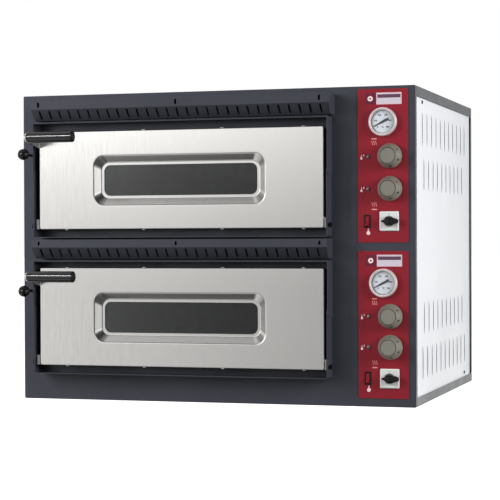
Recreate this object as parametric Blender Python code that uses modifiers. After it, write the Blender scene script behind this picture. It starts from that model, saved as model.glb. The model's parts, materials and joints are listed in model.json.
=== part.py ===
"""Two-deck electric countertop pizza oven, in metres, +Z up.

The origin is under the middle of the whole object, on the surface that it stands on. +X is the
operator's right, and +Y runs from the doors to the rear. Each moving group hangs on an empty that
sits on its joint's axis.
"""

import math

import bmesh
import bpy
from mathutils import Matrix, Vector

# ---------------------------------------------------------------- driving dimensions
BODY_WIDTH = 0.983
BODY_DEPTH = 0.773
BODY_HEIGHT = 0.745
HANDLE_AXIS_OUT = 0.110
HANDLE_RADIUS = 0.0135
GLAND_OUT = 0.024

SHEET = 0.0015
GAP = 0.0003
THROUGH = 0.02

LEFT = -BODY_WIDTH / 2
RIGHT = BODY_WIDTH / 2
TOTAL_DEPTH = HANDLE_AXIS_OUT + HANDLE_RADIUS + BODY_DEPTH + GLAND_OUT
FRONT = -TOTAL_DEPTH / 2 + HANDLE_AXIS_OUT + HANDLE_RADIUS
REAR = FRONT + BODY_DEPTH

# What differs between the decks: heights, and the lower hood's right end. The upper hood and control
# panel are a little taller.
DECKS = {
    "upper": {
        "door": 0.416,
        "hood": (0.680, 0.706, 0.7285),
        "hood_right": 0.792,
        "slot_pitch": 0.0251,
        "panel": (0.382, 0.738),
        "gauge": 0.6612,
        "knobs": (0.582, 0.5065),
        "switch": 0.431,
        "handle": 0.6365,
        "vent": 0.5973,
    },
    "lower": {
        "door": 0.086,
        "hood": (0.345, 0.372, 0.3915),
        "hood_right": 0.786,
        "slot_pitch": 0.0248,
        "panel": (0.020, 0.362),
        "gauge": 0.288,
        "knobs": (0.211, 0.1393),
        "switch": 0.0665,
        "handle": 0.3025,
        "vent": 0.2668,
    },
}

# Casing
FRONT_RETURN = 0.0146
REAR_RETURN = 0.015
TOP_LIP = 0.0235
BASE_LIP = 0.021
SIDE_RECESS = 0.004
SIDE_TUCK = 0.010
LOUVRE_PITCH = 0.0577
LOUVRE_SLOT = 0.003
GLAND_PLACE = (LEFT + 0.900, REAR, 0.070)
GLAND_HOLE = 0.011
REAR_SLOTS = 6
REAR_SLOT_PITCH = 0.022
# (lowest, highest, first slot behind the front, slots)
LOUVRE_ROWS = (
    (0.610, 0.688, 0.085, 11),
    (0.505, 0.579, 0.103, 10),
    (0.166, 0.240, 0.103, 10),
    (0.059, 0.134, 0.085, 11),
)

# Door recess and hood, measured from the left edge and out from the front
CHEEK_LEFT = LEFT + 0.045
CHEEK_RIGHT = LEFT + 0.7855
CHEEK_OUT = 0.048
CHEEK_LAP = (0.123, 0.140)
SILL_BELOW_DOOR = 0.020
HOOD_LEFT = LEFT + 0.046
HOOD_OUT = 0.060
HOOD_FOOT_OUT = 0.035
HOOD_SLOTS = 29
HOOD_SLOT_WIDTH = 0.005
FASCIA_SLOTS = (0.066, 0.418, 0.769)

# Doors
DOOR_LEFT = LEFT + 0.060
DOOR_RIGHT = LEFT + 0.775
DOOR_HEIGHT = 0.237
DOOR_OUT = 0.040
DOOR_BACK_OUT = 0.009
SKIN = 0.0012
SKIN_FOLD = 0.010
HINGE_OUT = 0.033
HINGE_UP = 0.0075
PIN_RADIUS = 0.004
WINDOW_X = (DOOR_LEFT + DOOR_RIGHT) / 2
WINDOW_UP = 0.1176
PRESSING = (0.2155, 0.0595, 0.027)
RIM = (0.2000, 0.0440, 0.021)
SIGHT = (0.1930, 0.0372, 0.016)
PRESSING_DEPTH = 0.013
GLASS_THICK = 0.004
GLASS_LAP = 0.005
HANDLE_LENGTH = 0.119
ARM_THICK = 0.004

# Baking chambers
STONE_UP = 0.046
STONE_THICK = 0.015
MOUTH_HEIGHT = 0.140
CHAMBER_LEFT = LEFT + 0.087
CHAMBER_RIGHT = LEFT + 0.747
CHAMBER_FRONT = FRONT + 0.004
CHAMBER_REAR = FRONT + 0.680
LINER = 0.002
UNDER_STONE = 0.035
ABOVE_MOUTH = 0.020
ELEMENT_RADIUS = 0.004
ELEMENT_PASSES = 8
ELEMENT_PITCH = 0.082
ELEMENT_FROM_WALL = 0.010
WOOL_SIDE = 0.035

# Controls, on the panel to the right of the doors
PANEL_X = (LEFT + 0.847, LEFT + 0.966)
PANEL_FACE = FRONT - GAP - SHEET
GAUGE_X = LEFT + 0.9074
KNOB_X = LEFT + 0.9237
SWITCH_X = LEFT + 0.9212
ROCKER_X = LEFT + 0.8695
LAMP_X = LEFT + 0.8722
GAUGE_HOLE = 0.030
SHAFT_HOLE = 0.005
LAMP_HOLE = 0.0042
SWITCH_HOLE = 0.012
SWITCH_PLATE = 0.0455
ROCKER_TILT = math.radians(9.2)

# Vent pulls, to the left of the doors
VENT_X = LEFT + 0.037
VENT_BALL_OUT = 0.083
VENT_BALL_RADIUS = 0.0138
VENT_ROD_RADIUS = 0.0035
VENT_PORT = (0.072, 0.108)
VENT_PORT_HALF = 0.018

# Local axes of an outline: across and up, with its thickness along the third axis
SIDE_ON = Matrix(((0, 0, 1, 0), (1, 0, 0, 0), (0, 1, 0, 0), (0, 0, 0, 1)))
FACE_ON = Matrix(((1, 0, 0, 0), (0, 0, -1, 0), (0, 1, 0, 0), (0, 0, 0, 1)))

for old in list(bpy.data.objects):
    bpy.data.objects.remove(old)


def collection(name):
    made = bpy.data.collections.new(name)
    bpy.context.scene.collection.children.link(made)
    return made


PARTS = collection("pizza_oven")
CUTTERS = collection("cutters")


# ---------------------------------------------------------------- finishes
def finish(name, colour, roughness, metallic=0.0, alpha=1.0):
    made = bpy.data.materials.new(name)
    made.use_nodes = True
    shader = made.node_tree.nodes["Principled BSDF"]
    shader.inputs["Base Color"].default_value = (*colour, 1.0)
    shader.inputs["Roughness"].default_value = roughness
    shader.inputs["Metallic"].default_value = metallic
    shader.inputs["Alpha"].default_value = alpha
    made.diffuse_color = (*colour, alpha)
    return made


SLATE_PAINT = finish("slate_paint", (0.060, 0.063, 0.077), 0.45)
COVER_PAINT = finish("cover_paint", (0.10, 0.11, 0.12), 0.5)
WHITE_PAINT = finish("white_paint", (0.78, 0.81, 0.85), 0.4)
RED_PAINT = finish("red_paint", (0.20, 0.015, 0.028), 0.4)
STAINLESS = finish("stainless_steel", (0.62, 0.61, 0.59), 0.3, 1.0)
BRIGHT_STEEL = finish("bright_steel", (0.75, 0.74, 0.73), 0.18, 1.0)
GALVANISED = finish("galvanised_steel", (0.45, 0.47, 0.48), 0.45, 1.0)
STONE = finish("refractory_stone", (0.55, 0.48, 0.38), 0.9)
WOOL = finish("mineral_wool", (0.50, 0.45, 0.30), 0.95)
GLASS = finish("oven_glass", (0.25, 0.27, 0.25), 0.05, 0.0, 0.35)
BLACK_PLASTIC = finish("black_plastic", (0.012, 0.012, 0.013), 0.2)
KNOB_PLASTIC = finish("knob_plastic", (0.19, 0.19, 0.16), 0.45)
PLATE_PLASTIC = finish("plate_plastic", (0.62, 0.66, 0.66), 0.4)
RED_PLASTIC = finish("red_plastic", (0.45, 0.01, 0.02), 0.25)


# ---------------------------------------------------------------- modelling helpers
def place(name, data, material, home=PARTS):
    made = bpy.data.objects.new(name, data)
    home.objects.link(made)
    if material:
        data.materials.append(material)
    return made


def add_box(shape, low, high):
    size = [b - a for a, b in zip(low, high)]
    middle = [(a + b) / 2 for a, b in zip(low, high)]
    bmesh.ops.create_cube(shape, size=1, matrix=Matrix.Translation(middle) @ Matrix.Diagonal((*size, 1)))


def add_rod(shape, centre, radius, length, axis, segments=16):
    turn = {"X": Matrix.Rotation(math.pi / 2, 4, "Y"), "Y": Matrix.Rotation(math.pi / 2, 4, "X")}[axis]
    bmesh.ops.create_cone(
        shape,
        cap_ends=True,
        segments=segments,
        radius1=radius,
        radius2=radius,
        depth=length,
        matrix=Matrix.Translation(centre) @ turn,
    )


def shapes(name, boxes=(), rods=()):
    """A mesh of boxes (low, high) and rods (centre, radius, length, axis)."""
    shape = bmesh.new()
    for low, high in boxes:
        add_box(shape, low, high)
    for centre, radius, length, axis in rods:
        add_rod(shape, centre, radius, length, axis)
    data = bpy.data.meshes.new(name)
    shape.to_mesh(data)
    shape.free()
    return data


def box(name, low, high, material):
    return place(name, shapes(name, [(low, high)]), material)


def helper(name, data):
    made = place(name, data, None, CUTTERS)
    made.hide_render = True
    made.display_type = "WIRE"
    return made


def boolean(piece, operation, data, name):
    step = piece.modifiers.new(name, "BOOLEAN")
    step.operation = operation
    step.solver = "EXACT"
    step.object = helper(f"{piece.name}_{name}", data)


def cut(piece, name, boxes=(), rods=()):
    boolean(piece, "DIFFERENCE", shapes(name, boxes, rods), name)


def join(piece, name, boxes=(), rods=()):
    boolean(piece, "UNION", shapes(name, boxes, rods), name)


def prism(name, outline, low, high, plane):
    """A flat outline given its thickness from low to high along the plane's third axis, as a mesh."""
    flat = bpy.data.curves.new(name, "CURVE")
    flat.dimensions = "2D"
    flat.fill_mode = "BOTH"
    flat.extrude = (high - low) / 2
    line = flat.splines.new("POLY")
    line.points.add(len(outline) - 1)
    for point, (across, up) in zip(line.points, outline):
        point.co = (across, up, 0, 1)
    line.use_cyclic_u = True
    curve = bpy.data.objects.new(name, flat)
    bpy.context.scene.collection.objects.link(curve)
    bpy.context.view_layer.update()
    data = bpy.data.meshes.new_from_object(curve.evaluated_get(bpy.context.evaluated_depsgraph_get()))
    bpy.data.objects.remove(curve)
    shape = bmesh.new()
    shape.from_mesh(data)
    bmesh.ops.remove_doubles(shape, verts=shape.verts, dist=1e-6)
    bmesh.ops.recalc_face_normals(shape, faces=shape.faces)
    bmesh.ops.transform(shape, matrix=plane @ Matrix.Translation((0, 0, (low + high) / 2)), verts=shape.verts)
    shape.to_mesh(data)
    shape.free()
    return data


def arc(centre, radius, start, end, steps):
    """Points on a circle, from one angle to another in degrees."""
    angles = [math.radians(start + (end - start) * i / steps) for i in range(steps + 1)]
    return [(centre[0] + radius * math.cos(a), centre[1] + radius * math.sin(a)) for a in angles]


def turned(name, profile, centre, material, facing="front", steps=20, closed=False):
    """A profile of (radius, height) turned about an axis. Height runs out of the named side."""
    data = bpy.data.meshes.new(name)
    count = len(profile)
    edges = [(i, i + 1) for i in range(count - 1)]
    if closed:
        edges.append((count - 1, 0))
    data.from_pydata([(radius, 0, height) for radius, height in profile], edges, [])
    made = place(name, data, material)
    made.location = centre
    angles = {
        "front": (math.pi / 2, 0, 0),
        "rear": (-math.pi / 2, 0, 0),
        "right": (0, math.pi / 2, 0),
    }
    made.rotation_euler = angles[facing]
    screw = made.modifiers.new("turn", "SCREW")
    screw.axis = "Z"
    screw.steps = steps
    screw.render_steps = steps
    screw.use_merge_vertices = True
    screw.merge_threshold = 0.00001
    screw.use_smooth_shade = True
    return made


def ring(shape, half_width, half_height, radius, centre_z, y):
    """A rounded rectangle round the window's middle, facing the front."""
    corner_steps = 4
    points = []
    for corner, (sx, sz) in enumerate(((1, 1), (-1, 1), (-1, -1), (1, -1))):
        middle = (sx * (half_width - radius), sz * (half_height - radius))
        points += arc(middle, radius, 90 * corner, 90 * corner + 90, corner_steps)
    return [shape.verts.new((WINDOW_X + across, y, centre_z + up)) for across, up in points]


def pressed_sheet(name, rings, thickness, material):
    """A sheet drawn through rounded rectangles (half width, half height, radius, centre height, y)."""
    shape = bmesh.new()
    loops = [ring(shape, *values) for values in rings]
    for outer, inner in zip(loops, loops[1:]):
        for i in range(len(outer)):
            j = (i + 1) % len(outer)
            shape.faces.new((outer[j], inner[j], inner[i], outer[i]))
    data = bpy.data.meshes.new(name)
    shape.to_mesh(data)
    shape.free()
    made = place(name, data, material)
    solid = made.modifiers.new("thickness", "SOLIDIFY")
    solid.thickness = thickness
    solid.offset = -1
    solid.use_even_offset = True
    return made


def tray(name, low, high, hollow_low, hollow_high, material):
    """A box with a box-shaped hollow that runs out of one or more sides."""
    made = box(name, low, high, material)
    cut(made, "hollow", [(hollow_low, hollow_high)])
    return made


def pivot(name, location, *pieces):
    """An empty on a joint's axis that carries the pieces that move together."""
    axle = bpy.data.objects.new(name, None)
    PARTS.objects.link(axle)
    axle.location = location
    for piece in pieces:
        piece.parent = axle
        piece.matrix_parent_inverse = Matrix.Translation(-Vector(location))


# ---------------------------------------------------------------- casing
def control_holes(deck, extra):
    """Boxes and rods that clear the controls of one deck through a sheet."""
    y = FRONT

    def hole(x, z, radius):
        return ((x, y, z), radius + extra, THROUGH, "Y")

    rods = [hole(GAUGE_X, deck["gauge"], GAUGE_HOLE), hole(SWITCH_X, deck["switch"], SWITCH_HOLE)]
    for z in deck["knobs"]:
        rods.append(hole(KNOB_X, z, SHAFT_HOLE))
        rods.append(hole(LAMP_X, z, LAMP_HOLE))
    half_width = 0.0067 + extra
    half_height = 0.0147 + extra
    rocker = (
        (ROCKER_X - half_width, y - THROUGH / 2, deck["switch"] - half_height),
        (ROCKER_X + half_width, y + THROUGH / 2, deck["switch"] + half_height),
    )
    return [rocker], rods


def front_panel():
    panel = tray(
        "front_panel",
        (LEFT, FRONT, 0),
        (RIGHT, FRONT + FRONT_RETURN, BODY_HEIGHT),
        (LEFT + SHEET, FRONT + SHEET, SHEET),
        (RIGHT - SHEET, FRONT + THROUGH, BODY_HEIGHT - SHEET),
        SLATE_PAINT,
    )
    mouths = []
    for name, deck in DECKS.items():
        low = (CHAMBER_LEFT - 0.008, FRONT - THROUGH, deck["door"] + 0.016)
        high = (CHAMBER_RIGHT + 0.008, FRONT + THROUGH / 2, deck["door"] + 0.206)
        mouths.append((low, high))
        boxes, rods = control_holes(deck, 0.001)
        rods.append(((VENT_X, FRONT, deck["vent"]), VENT_ROD_RADIUS + 0.001, THROUGH, "Y"))
        cut(panel, f"controls_{name}", boxes, rods)
    cut(panel, "mouths", mouths)


def top_cover():
    tray(
        "top_cover",
        (LEFT, FRONT + FRONT_RETURN + GAP, BODY_HEIGHT - TOP_LIP),
        (RIGHT, REAR, BODY_HEIGHT),
        (LEFT + SHEET, FRONT, 0),
        (RIGHT - SHEET, REAR - SHEET, BODY_HEIGHT - SHEET),
        COVER_PAINT,
    )


def base_tray():
    tray(
        "base_tray",
        (LEFT, FRONT + FRONT_RETURN + GAP, 0),
        (RIGHT, REAR, BASE_LIP),
        (LEFT + SHEET, FRONT, SHEET),
        (RIGHT - SHEET, REAR - SHEET, BODY_HEIGHT),
        COVER_PAINT,
    )


def rear_panel():
    low_z = BASE_LIP + GAP
    high_z = BODY_HEIGHT - TOP_LIP - GAP
    panel = tray(
        "rear_panel",
        (LEFT, REAR - REAR_RETURN, low_z),
        (RIGHT, REAR, high_z),
        (LEFT + SHEET, FRONT, low_z + SHEET),
        (RIGHT - SHEET, REAR - SHEET, high_z - SHEET),
        COVER_PAINT,
    )
    slots = []
    for deck in DECKS.values():
        for i in range(REAR_SLOTS):
            x = RIGHT - 0.160 + i * REAR_SLOT_PITCH
            z = deck["door"] + 0.170
            slots.append(((x, REAR - THROUGH, z), (x + 0.005, REAR + THROUGH, z + 0.060)))
    cut(panel, "slots", slots, [(GLAND_PLACE, GLAND_HOLE, 2 * THROUGH, "Y")])


def side_panel(name, outer, inner, slots):
    low = (min(outer, inner), FRONT + SIDE_TUCK, SIDE_TUCK)
    high = (max(outer, inner), REAR - REAR_RETURN - GAP, BODY_HEIGHT - SIDE_TUCK)
    panel = box(name, low, high, WHITE_PAINT)
    if slots:
        cut(panel, "louvres", slots)


def side_panels():
    slots = []
    for low_z, high_z, first, count in LOUVRE_ROWS:
        for i in range(count):
            y = FRONT + first + i * LOUVRE_PITCH
            slots.append(((RIGHT - THROUGH, y, low_z), (RIGHT, y + LOUVRE_SLOT, high_z)))
    side_panel("right_side_panel", RIGHT - SIDE_RECESS, RIGHT - SIDE_RECESS - SHEET, slots)
    side_panel("left_side_panel", LEFT + SIDE_RECESS, LEFT + SIDE_RECESS + SHEET, [])


def cable_gland():
    """The empty inlet for the supply cable, a nut on each side of the rear panel."""
    profile = [
        (0.0070, GLAND_OUT),
        (0.0120, GLAND_OUT),
        (0.0150, GLAND_OUT - 0.005),
        (0.0150, GAP),
        (0.0100, GAP),
        (0.0100, -0.012),
        (0.0070, -0.012),
    ]
    turned("cable_gland", profile, GLAND_PLACE, BLACK_PLASTIC, "rear", 16, closed=True)


# ---------------------------------------------------------------- hood and door recess
def hood(name, deck):
    """The steam hood over a door: fascia, slotted slope and end plates, open below and behind."""
    foot, brow, top = deck["hood"]
    right = LEFT + deck["hood_right"]
    back = FRONT - GAP

    def nose(inset):
        """The front of the side outline, from the top edge down to the slope's foot, moved in by inset."""
        foot_y = FRONT - HOOD_FOOT_OUT + inset * 0.4
        front_y = FRONT - HOOD_OUT + inset
        return [(front_y, top - inset), (front_y, brow + inset * 0.4), (foot_y, foot)]

    outer = [*nose(0), (back, foot), (back, top)]
    made = place(name, prism(name, outer, HOOD_LEFT, right, SIDE_ON), SLATE_PAINT)
    inner = nose(SHEET)
    past_back = back + THROUGH
    past_foot = foot - THROUGH
    inner += [(inner[-1][0], past_foot), (past_back, past_foot), (past_back, top - SHEET)]
    inside = prism("inside", inner, HOOD_LEFT + SHEET, right - SHEET, SIDE_ON)
    boolean(made, "DIFFERENCE", inside, "inside")
    first = (HOOD_LEFT + right - (HOOD_SLOTS - 1) * deck["slot_pitch"]) / 2
    slots = []
    for i in range(HOOD_SLOTS):
        x = first + i * deck["slot_pitch"]
        low = (x - HOOD_SLOT_WIDTH / 2, FRONT - HOOD_OUT + 0.003, foot + 0.004)
        high = (x + HOOD_SLOT_WIDTH / 2, FRONT - HOOD_FOOT_OUT + 0.005, brow - 0.003)
        slots.append((low, high))
    cut(made, "slope_slots", slots)
    marks = []
    for offset in FASCIA_SLOTS:
        x = LEFT + offset
        low = (x - 0.0015, FRONT - HOOD_OUT - 0.005, brow + 0.005)
        high = (x + 0.0015, FRONT - HOOD_OUT + 0.005, top - 0.005)
        marks.append((low, high))
    cut(made, "fascia_slots", marks)


def door_surround(name, deck):
    """The tray round a door: a top lip, a sill, the plate with the oven's mouth, and two cheeks, each of
    which has an upper sheet that laps over its lower one."""
    door = deck["door"]
    low_z = door - SILL_BELOW_DOOR
    high_z = deck["hood"][0] - 0.004
    back = FRONT - GAP
    made = tray(
        name,
        (CHEEK_LEFT, FRONT - CHEEK_OUT, low_z),
        (CHEEK_RIGHT, back, high_z),
        (CHEEK_LEFT + SHEET, FRONT - CHEEK_OUT - THROUGH, low_z + SHEET),
        (CHEEK_RIGHT - SHEET, back - SHEET, high_z - SHEET),
        SLATE_PAINT,
    )
    mouth = (
        (CHAMBER_LEFT, FRONT - THROUGH, door + STONE_UP),
        (CHAMBER_RIGHT, FRONT + THROUGH, door + STONE_UP + MOUTH_HEIGHT),
    )
    lap_low, lap_high = (door + height for height in CHEEK_LAP)
    inside = (CHEEK_LEFT + SHEET, CHEEK_RIGHT - SHEET)
    outside = (CHEEK_LEFT - 0.004, CHEEK_RIGHT + 0.004)
    past_front = FRONT - CHEEK_OUT - 0.01
    below_laps = [
        ((min(near, far), past_front, low_z - 0.01), (max(near, far), FRONT, lap_low))
        for near, far in zip(inside, outside)
    ]
    lower_cheeks = [
        ((x, FRONT - CHEEK_OUT, low_z), (x + SHEET, back, lap_high)) for x in (inside[0], inside[1] - SHEET)
    ]
    axis_y = FRONT - HINGE_OUT
    pins = [
        ((x, axis_y, door + HINGE_UP), PIN_RADIUS + 0.0005, THROUGH, "X") for x in (CHEEK_LEFT, CHEEK_RIGHT)
    ]
    cut(made, "mouth", [mouth])
    cut(made, "below_laps", below_laps)
    join(made, "lower_cheeks", lower_cheeks)
    cut(made, "pin_holes", [], pins)


# ---------------------------------------------------------------- doors
def window_ring(deck, size, out):
    half_width, half_height, radius = size
    return (half_width, half_height, radius, deck["door"] + WINDOW_UP, FRONT - out)


def outline_ring(deck, inset, out, radius=0.003):
    half_width = (DOOR_RIGHT - DOOR_LEFT) / 2 - inset
    half_height = DOOR_HEIGHT / 2 - inset
    return (half_width, half_height, radius, deck["door"] + DOOR_HEIGHT / 2, FRONT - out)


def door_skin(name, deck):
    rings = [
        outline_ring(deck, 0, DOOR_OUT - SKIN_FOLD),
        outline_ring(deck, 0, DOOR_OUT - 0.0012),
        outline_ring(deck, 0.0012, DOOR_OUT),
        window_ring(deck, PRESSING, DOOR_OUT),
        window_ring(deck, RIM, DOOR_OUT - PRESSING_DEPTH),
        window_ring(deck, SIGHT, DOOR_OUT - PRESSING_DEPTH),
    ]
    return pressed_sheet(name, rings, SKIN, STAINLESS)


def glass_out():
    return DOOR_OUT - PRESSING_DEPTH - SKIN - GAP


def door_glass(name, deck):
    half_width = SIGHT[0] + GLASS_LAP
    half_height = SIGHT[1] + GLASS_LAP
    centre_z = deck["door"] + WINDOW_UP
    front_y = FRONT - glass_out()
    return box(
        name,
        (WINDOW_X - half_width, front_y, centre_z - half_height),
        (WINDOW_X + half_width, front_y + GLASS_THICK, centre_z + half_height),
        GLASS,
    )


def door_frame(name, deck):
    """The dark tray behind the skin, folded forward round the edge and round the glass."""
    inset = SKIN + GAP
    behind_glass = glass_out() - GLASS_THICK - GAP
    rings = [
        outline_ring(deck, inset, DOOR_OUT - 0.004),
        outline_ring(deck, inset, DOOR_BACK_OUT),
        window_ring(deck, SIGHT, DOOR_BACK_OUT),
        window_ring(deck, SIGHT, behind_glass),
    ]
    made = pressed_sheet(name, rings, SHEET, SLATE_PAINT)
    made.modifiers["thickness"].offset = 1
    return made


def door_inner_panel(name, deck):
    """The flat sheet that faces the chamber, with a hole behind the glass."""
    centre_z = deck["door"] + WINDOW_UP
    front_y = FRONT - DOOR_BACK_OUT + GAP
    half_width, half_height, _ = SIGHT
    made = box(
        name,
        (DOOR_LEFT + 0.012, front_y, deck["door"] + 0.024),
        (DOOR_RIGHT - 0.012, front_y + 0.002, deck["door"] + 0.210),
        GALVANISED,
    )
    hole = (
        (WINDOW_X - half_width, front_y - 0.01, centre_z - half_height),
        (WINDOW_X + half_width, front_y + 0.01, centre_z + half_height),
    )
    cut(made, "window", [hole])
    return made


def handle_arm(name, deck):
    """The steel strap that holds the grip out from the door's left edge."""
    grip = (FRONT - HANDLE_AXIS_OUT, deck["handle"])
    half = 0.010
    outline = arc(grip, half, 75, 285, 8)
    outline += [(FRONT - 0.014, deck["handle"] - 0.034), (FRONT - 0.014, deck["handle"] - 0.012)]
    right = DOOR_LEFT - GAP
    made = place(name, prism(name, outline, right - ARM_THICK, right, SIDE_ON), BRIGHT_STEEL)
    join(made, "nut", [], [((right - ARM_THICK - 0.0015, *grip), 0.0065, 0.005, "X")])
    return made


def handle_grip(name, deck):
    radius = HANDLE_RADIUS
    profile = [
        (0, HANDLE_LENGTH),
        (radius - 0.003, HANDLE_LENGTH),
        (radius, HANDLE_LENGTH - 0.003),
        (radius, 0.0015),
        (radius - 0.0015, 0),
        (0, 0),
    ]
    centre = (DOOR_LEFT, FRONT - HANDLE_AXIS_OUT, deck["handle"])
    return turned(name, profile, centre, BLACK_PLASTIC, "right")


def hinge(name, deck, side):
    """The block on the door's lower corner, with the pin that turns in the cheek."""
    door_edge = DOOR_LEFT - GAP if side < 0 else DOOR_RIGHT + GAP
    cheek = CHEEK_LEFT if side < 0 else CHEEK_RIGHT
    block_end = cheek - side * 0.005
    pin_end = cheek + side * 0.004
    axis_y = FRONT - HINGE_OUT
    axis_z = deck["door"] + HINGE_UP
    made = box(
        name,
        (min(door_edge, block_end), axis_y - 0.006, deck["door"]),
        (max(door_edge, block_end), axis_y + 0.008, deck["door"] + 0.025),
        BRIGHT_STEEL,
    )
    inside_block = block_end - side * 0.002
    pin = (((inside_block + pin_end) / 2, axis_y, axis_z), PIN_RADIUS, abs(pin_end - inside_block), "X")
    join(made, "pin", [], [pin])
    head = ((pin_end, axis_y, axis_z), 0.0065, 0.003, "X")
    join(made, "head", [], [head])
    return made


def door(name, deck):
    pieces = [
        door_skin(f"door_skin_{name}", deck),
        door_frame(f"door_frame_{name}", deck),
        door_inner_panel(f"door_inner_panel_{name}", deck),
        door_glass(f"door_glass_{name}", deck),
        handle_arm(f"handle_arm_{name}", deck),
        handle_grip(f"handle_grip_{name}", deck),
        hinge(f"hinge_left_{name}", deck, -1),
        hinge(f"hinge_right_{name}", deck, 1),
    ]
    axis = (WINDOW_X, FRONT - HINGE_OUT, deck["door"] + HINGE_UP)
    pivot(f"door_pivot_{name}", axis, *pieces)


# ---------------------------------------------------------------- baking chambers
def chamber_span(deck):
    """The lowest and highest clear heights inside a liner."""
    stone_top = deck["door"] + STONE_UP
    return stone_top - UNDER_STONE, stone_top + MOUTH_HEIGHT + ABOVE_MOUTH


def element_heights(deck):
    low_z, high_z = chamber_span(deck)
    return low_z + ELEMENT_FROM_WALL, high_z - ELEMENT_FROM_WALL


def element_rows():
    first = CHAMBER_FRONT + 0.050
    return [first + i * ELEMENT_PITCH for i in range(ELEMENT_PASSES)]


def tail_holes(deck):
    """Square holes for the elements' two ends, through the liner's right wall and the wool."""
    rows = element_rows()
    half = ELEMENT_RADIUS + 0.001
    x = (CHAMBER_RIGHT - 0.005, CHAMBER_RIGHT + WOOL_SIDE + 0.005)
    return [
        ((x[0], y - half, z - half), (x[1], y + half, z + half))
        for y in (rows[0], rows[-1])
        for z in element_heights(deck)
    ]


def vent_port(deck, x_low, x_high):
    near, far = VENT_PORT
    z = deck["vent"]
    low = (x_low, FRONT + near, z - VENT_PORT_HALF)
    return low, (x_high, FRONT + far, z + VENT_PORT_HALF)


def chamber_liner(name, deck):
    low_z, high_z = chamber_span(deck)
    made = tray(
        name,
        (CHAMBER_LEFT - LINER, CHAMBER_FRONT, low_z - LINER),
        (CHAMBER_RIGHT + LINER, CHAMBER_REAR + LINER, high_z + LINER),
        (CHAMBER_LEFT, CHAMBER_FRONT - THROUGH, low_z),
        (CHAMBER_RIGHT, CHAMBER_REAR, high_z),
        GALVANISED,
    )
    ledge_top = deck["door"] + STONE_UP - STONE_THICK - GAP
    front_y = CHAMBER_FRONT + 0.010
    rear_y = CHAMBER_REAR - 0.010
    ledges = [
        ((CHAMBER_LEFT - 0.001, front_y, ledge_top - 0.003), (CHAMBER_LEFT + 0.012, rear_y, ledge_top)),
        ((CHAMBER_RIGHT - 0.012, front_y, ledge_top - 0.003), (CHAMBER_RIGHT + 0.001, rear_y, ledge_top)),
    ]
    join(made, "ledges", ledges)
    port = vent_port(deck, CHAMBER_LEFT - 0.005, CHAMBER_LEFT + 0.005)
    cut(made, "openings", [port, *tail_holes(deck)])


def stone_floor(name, deck):
    top = deck["door"] + STONE_UP
    box(
        name,
        (CHAMBER_LEFT + 0.003, CHAMBER_FRONT + 0.006, top - STONE_THICK),
        (CHAMBER_RIGHT - 0.003, CHAMBER_REAR - 0.006, top),
        STONE,
    )


def heating_element(name, z):
    """A rod bent to and fro across the chamber, with both ends out through the right wall."""
    near_left = CHAMBER_LEFT + 0.060
    near_right = CHAMBER_RIGHT - 0.060
    tail = CHAMBER_RIGHT + WOOL_SIDE + 0.010
    radius = ELEMENT_PITCH / 2
    points = [(tail, element_rows()[0])]
    for i, y in enumerate(element_rows()[:-1]):
        turn_left = i % 2 == 0
        x = near_left if turn_left else near_right
        way = -1 if turn_left else 1
        for across, along in arc((0, 0), radius, -90, 90, 4):
            points.append((x + way * across, y + radius + along))
    points.append((tail, element_rows()[-1]))
    data = bpy.data.curves.new(name, "CURVE")
    data.dimensions = "3D"
    data.bevel_depth = ELEMENT_RADIUS
    data.bevel_resolution = 1
    data.use_fill_caps = True
    line = data.splines.new("POLY")
    line.points.add(len(points) - 1)
    for point, (x, y) in zip(line.points, points):
        point.co = (x, y, z, 1)
    place(name, data, GALVANISED)


def insulation_blanket():
    """One block of mineral wool round both liners, open to the front."""
    made = box(
        "insulation_blanket",
        (CHAMBER_LEFT - LINER - WOOL_SIDE, CHAMBER_FRONT, 0.030),
        (CHAMBER_RIGHT + WOOL_SIDE, CHAMBER_REAR + 0.040, 0.700),
        WOOL,
    )
    clear = LINER + GAP
    beds = []
    holes = []
    for deck in DECKS.values():
        low_z, high_z = chamber_span(deck)
        low = (CHAMBER_LEFT - clear, CHAMBER_FRONT - THROUGH, low_z - clear)
        beds.append((low, (CHAMBER_RIGHT + clear, CHAMBER_REAR + clear, high_z + clear)))
        holes.append(vent_port(deck, CHAMBER_LEFT - WOOL_SIDE - 0.01, CHAMBER_LEFT))
        holes += tail_holes(deck)
    cut(made, "liner_beds", beds)
    cut(made, "holes", holes)


# ---------------------------------------------------------------- steam vent
def steam_vent(name, deck):
    """The pull knob on its rod, and the blade that the rod slides over the chamber's port."""
    z = deck["vent"]
    radius = VENT_BALL_RADIUS
    neck_end = -(radius + 0.003)
    ball = [(0, radius), *arc((0, 0), radius, 67.5, -67.5, 6), (0.005, neck_end), (0, neck_end)]
    knob = turned(f"vent_knob_{name}", ball, (VENT_X, FRONT - VENT_BALL_OUT, z), BLACK_PLASTIC, steps=16)
    start_y = FRONT - VENT_BALL_OUT - neck_end + GAP
    end_y = FRONT + 0.095
    data = shapes("rod", [], [((VENT_X, (start_y + end_y) / 2, z), VENT_ROD_RADIUS, end_y - start_y, "Y")])
    rod = place(f"vent_rod_{name}", data, BRIGHT_STEEL)
    near, far = VENT_PORT
    join(rod, "bracket", [((VENT_X, FRONT + 0.086, z - 0.002), (VENT_X + 0.008, FRONT + 0.094, z + 0.002))])
    blade_x = VENT_X + 0.007
    blade = (
        (blade_x, FRONT + near - 0.006, z - VENT_PORT_HALF - 0.006),
        (blade_x + 0.002, FRONT + far + 0.006, z + VENT_PORT_HALF + 0.006),
    )
    join(rod, "blade", [blade])
    pivot(f"vent_slide_{name}", (VENT_X, FRONT - VENT_BALL_OUT, z), knob, rod)


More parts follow.
